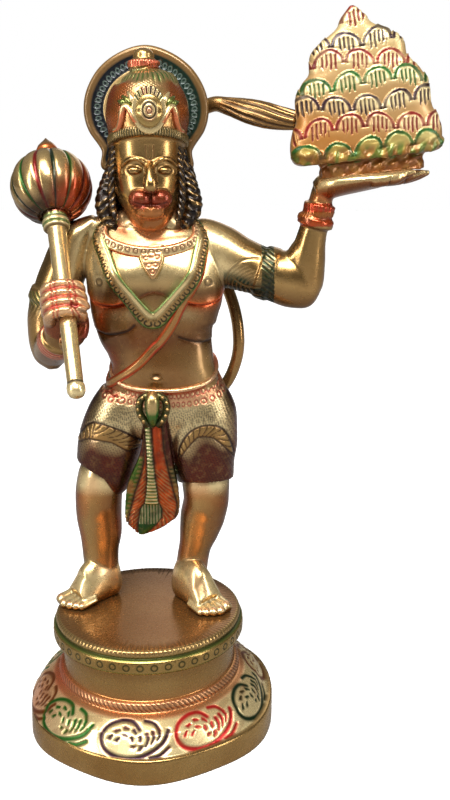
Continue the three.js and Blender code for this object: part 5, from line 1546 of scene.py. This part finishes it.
def medalCrest():
    # A fan over the disc, rows of half-ovals about (0, 356), slotted in steps of the angle
    rows = [(0, y, 358.6, wide, tall, tall) for y, wide, tall in medal["crest"]]
    skin = Skin(shellOf(loft(eased(rows, 0.5), sides=140, flutes=26, fluteDepth=0.02)))
    turn = np.arctan2(skin.verts[:, 0], skin.verts[:, 2] - 356)
    slot = ticked(turn * 15, 0.19 * 15, 0.6) * (np.abs(turn) < 0.78) * (skin.normal[:, 1] < -0.1)
    skin.lay("cream", 0.8)
    for name, low, high in medal["slots"]:
        skin.lay(name, slot * (turn > low) * (turn < high))
    skin.etch(slot, 0.7, 1)
    return skin


def medalParts():
    # The disc, the crest over it, and the side scrolls with their petals
    skins = [medalDisc(), medalCrest()]
    for way in (-1, 1):
        stem = [onCrown(way * x, medal["middle"] + z, 0.7) + (r * 1.25,) for x, z, r in medal["scroll"]]
        skins.append(Skin(tubeShell(stem, sides=28)))
        skins[-1].coats(("cream", 0.8), ("rust", 0.8 * line(skins[-1].normal[:, 2] + 0.4, 0.35)))
        for x0, z0, x1, z1, colour in medal["petals"]:
            petal = [onCrown(way * (x0 + (x1 - x0) * t), medal["middle"] + z0 + (z1 - z0) * t, 0.3) + (r,)
                     for t, r in ((-0.3, 0.9), (0.4, 2.1), (1.25, 0.9))]
            skins.append(Skin(tubeShell(petal, sides=20)))
            skins[-1].lay(colour, 0.8)
    return skins


def etchFace(skin):
    # Dotted muzzle pads, lids drawn as ovals, the brow mark, and a parting line under the nose
    x, y, z = skin.verts.T
    face = (y < -8) & (z < 337)
    pads = face * sum(np.clip(1.4 - (((x - way * 7) / 8.6) ** 2 + ((z - 303) / 6.6) ** 2), 0, 1)
                      for way in (-1, 1))
    pads = np.clip(pads * 1.6, 0, 1) * (y < -19)
    skin.coats(("amber", 0.7 * step(304 - z, 14) * (z < 312)),
               ("orange", 0.3 * step(300 - z, 10) * (z < 312)),
               ("brick", pads * 0.95))
    skin.etch(pads * wave(x / 1.5) * wave(z / 1.5), 0.15, 0.5)
    for way in (-1, 1):
        aside = x - way * 10
        lid = line(np.hypot(aside / 5.2, (z - 321.2) / 2.6) - 1, 0.16)
        split = line(z - 320.9 + 0.03 * aside ** 2, 0.5) * (np.abs(aside) < 4.6)
        upper = line(np.hypot((x - way * 10.4) / 7.2, (z - 320.6) / 4.8) - 1, 0.1) * (z > 319)
        skin.etch(np.maximum(np.maximum(lid * 0.7, split), upper * 0.6) * face, 0.4, 0.75)
    stripes = line(np.abs(x) - 2.5, 0.45) * (z > 330) + line(x, 0.4) * (z > 329.5)
    mark = np.minimum(1, stripes * (z < 337) + ringPunch(x, z - 330, 2.5, 0.45) * (z < 330)) * (y < -18)
    skin.etch(mark, 0.35, 0.7, red=0.4)
    skin.etch(line(z - 298.9 - 0.015 * x ** 2, 0.6) * (np.abs(x) < 11) * face, 0.4, 0.6)
    skin.etch(line(x, 0.6) * (z > 299) * (z < 308) * face, 0.5, 0.5)


def makeHead():
    # Head and crown carved in their own axes, then turned, with the medal and the hair
    skin = Skin(fused(headShells(), head["voxel"], 4))
    etchCrown(skin)
    etchFace(skin)
    waxInHollows(skin, 0.42, 0.85)
    parts = []
    for skin in (skin, *medalParts()):
        verts, quads, tris = skin.raised()
        parts.append(((ontoHead(verts), quads, tris), skin))
    shell, paint = merged(parts + strandedHair())
    finished("figureHead", shell, paint, "head brass", brass, "figure")


makeHead()
print("head, crown and hair are made")

halo = {
    "depth": 12, "thick": 4.5, "rim": 2.8, "band": 8, "lip": 6.2, "recess": 1.2, "punches": 5.1, "around": 620,
    "side": [(0, 403.4), (12, 401), (24.2, 394.8), (33.8, 386), (40.6, 373.6), (42.6, 361), (39.8, 348.6),
             (31.4, 335.6), (27, 321)],
    "middle": (2.3, 360),
}


haloLook = dict(brass, wear=0.97, paintDulls=0.8, rough=(0.26, 0.36))


def makeHalo():
    # A ring carried round the plate's outline: point = middle + (outline - middle) (1 - inset / reach), with
    # insets and depths read off one closed profile of rim, sunk band, lip and back
    right = np.array(halo["side"], float)
    outline = curved(np.vstack([right, right[1:][::-1] * (-1, 1)]), 40, closed=True) + (halo["middle"][0], 0)
    gaps = np.diff(np.vstack([outline, outline[:1]]), axis=0)
    s = np.concatenate([[0], np.cumsum(np.linalg.norm(gaps, axis=1))])
    at = np.linspace(0, s[-1], halo["around"], endpoint=False)
    ring = np.stack([np.interp(at, s, np.append(outline[:, n], outline[0, n])) for n in range(2)], axis=1)
    r, mid, back = halo["rim"], halo["depth"], halo["depth"] + halo["thick"] / 2
    front, sunk = back - halo["thick"], back - halo["thick"] - halo["recess"]
    band, lip = 2 * r, 2 * r + halo["band"]
    edge = lip + halo["lip"]
    profile = [(r + r * math.cos(a), mid + r * math.sin(a)) for a in np.radians(np.arange(60, 301, 12))]
    profile += [(band + 0.2 + n * 0.5, front) for n in range(int(halo["band"] / 0.5))]
    profile += [(lip, front - 0.2), (lip + 0.3, front - 1.0)] + [(lip + 0.8 + n * 0.8, sunk) for n in range(7)]
    profile += [(edge, front)] + [(edge - n * 2.0, back) for n in range(7)]
    inset, depth = np.array(profile).T[:, None]
    dark = (depth <= front + 0.01) & (inset > band) & (inset < lip + 0.1)
    onBand = dark & (inset < lip)
    u = ((at[:, None] / halo["punches"]) % 1 - 0.5) * halo["punches"]
    far = inset - (band + halo["band"] / 2)
    cuts = (ringPunch(u, far, 1.85, 0.5) + ringPunch(u, far, 0.7, 0.4)) * onBand
    away = ring - halo["middle"]
    share = 1 - inset / np.linalg.norm(away, axis=1)[:, None]
    x, z = halo["middle"][0] + away[:, :1] * share, halo["middle"][1] + away[:, 1:] * share
    y = depth + 0.4 * np.clip(cuts, 0, 1)
    paint = Paint(x.shape)
    onRim, inFront = inset < band, y < mid
    # The ink on the rim, laid below z 384 so that its top stays bright, is painted shade
    paint.coats(("blueBlack", dark * 1.0), ("darkGreen", dark * 0.45 * step(x - 8, 30)),
                ("steel", ringPunch(u, far, 1.5, 0.45) * onBand * 0.75), ("umber", 0.75 * onRim),
                ("ink", 0.3 * onRim * step(384 - z, 24)), ("cream", (inset > lip) * 0.5 * inFront),
                ("green", (inset > lip + 2) * 0.4 * inFront))
    shell, paint = merged([(shellOf(np.stack([x, y, z], axis=-1), closed=True), paint.listed())])
    finished("haloBrass", shell, paint, "halo brass", haloLook, "halo")


tail = {
    "rows": [
        (9, 28, 163, 1), (14, 36, 160, 1), (26, 43.5, 153.5, 1), (43, 42.5, 153.5, 1), (57, 38, 166, 1),
        (65, 35, 186, 1), (66, 35, 206, 1), (61.5, 39, 228, 1), (51, 43, 252, 1), (38, 46.5, 276, 1),
        (28, 46, 298, 1), (23, 43, 320, 1.02), (24, 37, 342, 1.06), (33, 29, 359, 1.14),
        (47, 22.5, 366.4, 1.16), (58, 18, 365, 1.3), (70, 13, 361.6, 1.75), (82, 8, 358.4, 1.9),
        (93, 3.5, 356, 1.7), (104, 0, 354, 1.35),
    ],
    "radius": 4.3, "tuft": 8.2, "sides": 64,
}


def makeTail():
    # A tube on its line, with the tuft's hair as relief cos(11 a + winding) over the last third
    route, at = evenly(curved(tail["rows"], 24), 1.1)
    share = route[:, 3]
    radius = np.where(share > 1.2, tail["tuft"] * share / 1.9, tail["radius"] * share)
    radius = np.interp(at, at[::6], radius[::6])
    tuft = np.clip((route[:, 0] - 52) / 8, 0, 1)[:, None] * (route[:, 2:3] > 350)
    rows = np.concatenate([route[:, :3], np.stack([radius] * 3, axis=1)], axis=1)
    grid = loft(rows, (0, 0.6, 0.8), tail["sides"])
    angle = 2 * np.pi * np.arange(tail["sides"])[None] / tail["sides"]
    strand = np.cos(11 * angle + at[:, None] * 0.16 + 0.6 * np.sin(at[:, None] / 6))
    grid = grid + unit(grid - route[:, None, :3]) * (0.55 * tuft * strand)[..., None]
    paint = Paint(strand.shape)
    paint.coats(("brown", 0.4), ("umber", 0.2 + 0.5 * tuft * (strand < 0)))
    paint.cut(tuft * np.clip(-strand, 0, 1) * 0.8)
    shell, paint = merged([(shellOf(grid), paint.listed("bare"))])
    finished("tailBrass", shell, paint, "tail brass", brass, "tail")


mace = {
    "shaft": 5.8, "taper": 0.6, "ball": 28, "height": 50, "ribs": 14, "ribDepth": 2.4, "around": 168,
    "collar": 9, "collarHeight": 9, "bud": 8.4, "budHeight": 16, "above": 91, "below": 56.5,
    "knob": [(-10, 0.4), (-9.8, 2.6), (-8.6, 4.6), (-6, 5.8), (-3, 6.0), (-1, 5.6), (-0.5, 4.6), (0, 4.5)],
    "budShape": [(-1.6, 0.84), (0, 0.86), (1.4, 1), (2.6, 0.9), (5, 0.94), (8.2, 0.78), (11.4, 0.48),
                 (14, 0.22)],
}


def maceRows():
    # Distance along the shaft and radius, from the end knob up over the collar and the ball to the bud's tip
    low, top = mace["above"] - mace["height"] / 2, mace["above"] + mace["height"] / 2
    collar, foot, wide, bud = low - mace["collarHeight"], -mace["below"], mace["collar"], mace["bud"]
    rows = [(foot + a, r) for a, r in mace["knob"]]
    rows += [(foot + 0.5, mace["shaft"] - mace["taper"]), (0, mace["shaft"]),
             (collar - 0.2, mace["shaft"] + mace["taper"]), (collar, wide - 1), (collar + 0.9, wide),
             (collar + 2.4, wide - 0.5), (collar + 3, wide - 1.2), (collar + 3.8, wide + 0.4),
             (low - 2.4, wide), (low - 1.6, wide - 1.4)]
    rows += [(mace["above"] - mace["height"] / 2 * math.cos(a) + (2.2 if a < 0.35 else 0),
              mace["ball"] * math.sin(a) ** 0.9) for a in np.radians(np.arange(16, 171, 2.0))]
    rows += [(top + a, bud * share) for a, share in mace["budShape"]] + [(top + mace["budHeight"], 0.5)]
    return evenly(np.array([(a, r, 0) for a, r in rows], float), 0.62)[0], low, top, collar, foot


def makeMace():
    # Turned about the grip's axis: point = grip + along way + r (cos a right + sin a front), r drawn in
    # between the ball's ribs
    rows, low, top, collar, foot = maceRows()
    along, r = rows[:, 0:1], rows[:, 1:2]
    turn = np.arange(mace["around"])[None] / mace["around"]
    angle = 2 * np.pi * turn
    onBall = ((along > low - 1) & (along < top - 0.5) & (r > 8.2)).astype(float)
    groove, valley = [wave(turn * mace["ribs"]) ** p * onBall * step(r - 10, 3) for p in (12, 2)]
    r = r - mace["ribDepth"] * (0.5 * groove + 0.25 * valley) * np.clip(r / 20, 0.4, 1)
    grid = (gripPoint + along[..., None] * maceWay + (r * np.cos(angle))[..., None] * gripRight
            + (r * np.sin(angle))[..., None] * gripFront)
    paint = Paint(r.shape)
    rib, skin = np.round(turn * mace["ribs"]), onBall * (1 - groove)
    paint.lay("cream", 0.5 * skin)
    for kind, name in enumerate(("darkGreen", "crimson", "green")):
        paint.lay(name, step(groove - 0.16, 0.3) * (groove > 0.02) * (rib % 3 == kind))
    # Painted shade on the lower part of the ball (under): umber, ink where it is deepest and maroon in the
    # valleys, with a rust wash on its right side
    under = step(0.5 - (grid - (-62, 6, 304)) @ unit(np.array([-0.5, 0.1, 0.9])) / 14, 1.4)
    paint.coats(
        ("umber", skin * 0.95 * under), ("ink", onBall * 0.5 * step(under - 0.75, 0.4)),
        ("maroon", skin * valley * 0.7 * under), ("rust", skin * 0.6 * under * step(grid[..., 0] + 56, 16)),
        ("cream", 0.7 * ((along > foot) & (along < collar))),
        ("cream", 0.95 * (((along > collar) & (along < low)) | (along < foot))),
        ("green", line(along - collar - 3, 0.9) * 0.8 + 0.7 * step(along - low + 3, 1) * (along < low + 0.6)),
        ("brown", (along > top + 5) * 0.6), ("orange", (along > top - 1.8) * step(top + 6 - along, 3) * 0.8))
    paint.cut(groove * 0.55 + line(along - foot, 1.0) * 0.95 + line(along - collar, 0.7) * 0.7
              + line(along - low + 1.6, 0.8) * 0.7)
    shell, paint = merged([(shellOf(grid), paint.listed("bare"))])
    finished("maceBrass", shell, paint, "mace brass", brass, "mace")


mountain = {
    "seat": np.array([150.0, -8.0, 322.0]), "lean": 6, "height": 101, "half": 50, "depth": 18, "square": 0.7,
    "shape": [
        (0.07, 0.88), (0.09, 0.96), (0.14, 1), (0.22, 0.99), (0.3, 0.94), (0.36, 0.885), (0.49, 0.865),
        (0.54, 0.83), (0.6, 0.745), (0.65, 0.645), (0.76, 0.6), (0.83, 0.43), (0.89, 0.225), (0.95, 0.135),
        (1, 0.02),
    ],
    "foot": [(4, 0, -3, 35, 13, 13), (4, 0, 1, 35, 13, 13), (4, 0, 4, 34, 12, 12), (4, 0, 10, 38, 14, 14)],
    "pitch": 19.5, "relief": 2.2, "strokes": 2.7, "voxel": 0.62,
    "colours": ["green", "crimson", "purple", "green", "crimson", "purple", "crimson"],  # from the foot up
}


mountainLook = dict(brass, bright=(0.74, 0.6, 0.34), deep=(0.52, 0.36, 0.14), rough=(0.3, 0.4), wear=0.88,
                    paintDulls=0.6)


def layScallops(skin, front):
    # Each scallop stands relief (0.6 + 0.4 r^2) high inside its arc r = 1, where r = |(aside, tall) / radius|,
    # and has strokes down from its edge; a row laid later covers the foot of the one over it
    u, _, v = skin.verts.T
    radius, spacing, stroke = mountain["pitch"] * 0.5, mountain["height"] * 0.139, mountain["strokes"]
    for row, colour in reversed(list(enumerate(mountain["colours"]))):
        wander = 1.9 * np.sin(row * 2.3 + u / 14) + 0.5 * np.sin(u / 5 + row)
        tall = v - (11 + row * spacing - row * row * 0.12) - wander
        place = (u - row % 2 * radius - 1.4 * math.sin(row * 4.1)) / mountain["pitch"]
        aside = ((place + 0.5) % 1 - 0.5) * mountain["pitch"]
        far = np.hypot(aside / radius, np.maximum(tall, 0) / (radius * 0.98))
        here = (tall > -spacing - 1) & (far < 1)
        leaf = here * front
        lift = mountain["relief"] * np.where(tall > 0, 0.6 + 0.4 * far ** 2, 0.6 + 0.055 * tall)
        skin.rise = np.where(here, lift, skin.rise)
        arc = line(far - 0.89, 0.125 + 0.03 * np.sin(aside * 0.9 + row)) * (tall > -0.5)
        tops = radius * np.sqrt(np.clip(1 - (aside / radius) ** 2, 0, 1)) - 3.4
        tops += 0.5 * np.sin(place.round() * 5 + aside * 4)
        feet = -2.4 + 1.6 * np.sin(aside * 1.7 + place.round() * 3)
        strokes = ticked(aside + 0.2 * np.sin(v / 3), stroke, 0.75) * (np.abs(aside) < 6) * (row > 0)
        strokes *= (tall < tops) * (tall > feet)
        skin.groove[here] = 0
        skin.cover[here] = 0.92 * front[here]
        skin.colour[here] = wash("cream")
        # Gold and amber under each arc, down to the row below, are painted shade between the rows
        skin.coats(("gold", 0.6 * leaf * step(-tall - 1, 6)),
                   ("saffron", 0.75 * leaf * step(26 - v - 0.6 * u, 40)),
                   ("amber", 0.5 * leaf * step(-tall - 1, 5) * step(70 - v, 30)),
                   ("olive", 0.7 * leaf * (row == 0)))
        cuts = np.maximum(arc, strokes) * leaf
        skin.lay(colour, cuts * (0.75 + 0.25 * step(blotch(skin.verts, 11, 45) + 0.4, 1)))
        skin.lay("ink", (strokes * 0.3 + 0.35 * arc * step(blotch(skin.verts, 16, 46), 0.5)) * leaf)
        skin.etch(cuts, 0.6, 0.35)


def makeMountain():
    # Flattened ovals up the outline, the depth drawn in as 1 - 0.68 share^1.6, leaning over on its seat
    share, wide = curved(mountain["shape"], 6).T[..., None]
    depth = mountain["depth"] * (1 - 0.68 * share ** 1.6)
    rows = np.concatenate([1.2 - 4 * share ** 2, 0 * share, share * mountain["height"],
                           wide * mountain["half"], depth, depth], axis=1)
    shells = [shellOf(loft(eased(rows, 1), sides=160, square=mountain["square"])),
              shellOf(loft(eased(mountain["foot"], 1), sides=120, square=mountain["square"]))]
    skin = Skin(fused(shells, mountain["voxel"], 3))
    v = skin.verts[:, 2]
    front = step(-skin.normal[:, 1] - 0.2, 0.7)
    skin.lay("cream", 0.8 * front + 0.1 * (1 - front))
    layScallops(skin, front)
    low = front * step(14 - v, 4)
    skin.coats(
        ("amber", 0.8 * step(8 - v, 6)), ("brown", low * 0.6 * step(blotch(skin.verts, 12, 42) + 0.2, 0.5)),
        ("green", low * 0.6 * step(blotch(skin.verts, 9, 41) - 0.2, 0.5) * (v > 5)),
        ("amber", (1 - front) * 0.6 * step(60 - v, 60)), ("brown", (1 - front) * 0.4))
    skin.rise += 1.1 * low * blotch(skin.verts, 9, 43)
    waxInHollows(skin, 0.5, 0.75)
    skin.rise *= front
    verts, quads, tris = skin.raised()
    turn = math.radians(-mountain["lean"])
    c, s = math.cos(turn), math.sin(turn)
    verts = verts @ np.array([[c, 0, -s], [0, 1, 0], [s, 0, c]]) + mountain["seat"]
    shell, paint = merged([((verts, quads, tris), skin)])
    finished("mountainBrass", shell, paint, "mountain brass", mountainLook, "mountain")


makeHalo()
makeTail()
makeMace()
makeMountain()
print("halo, tail, mace and mountain are made")
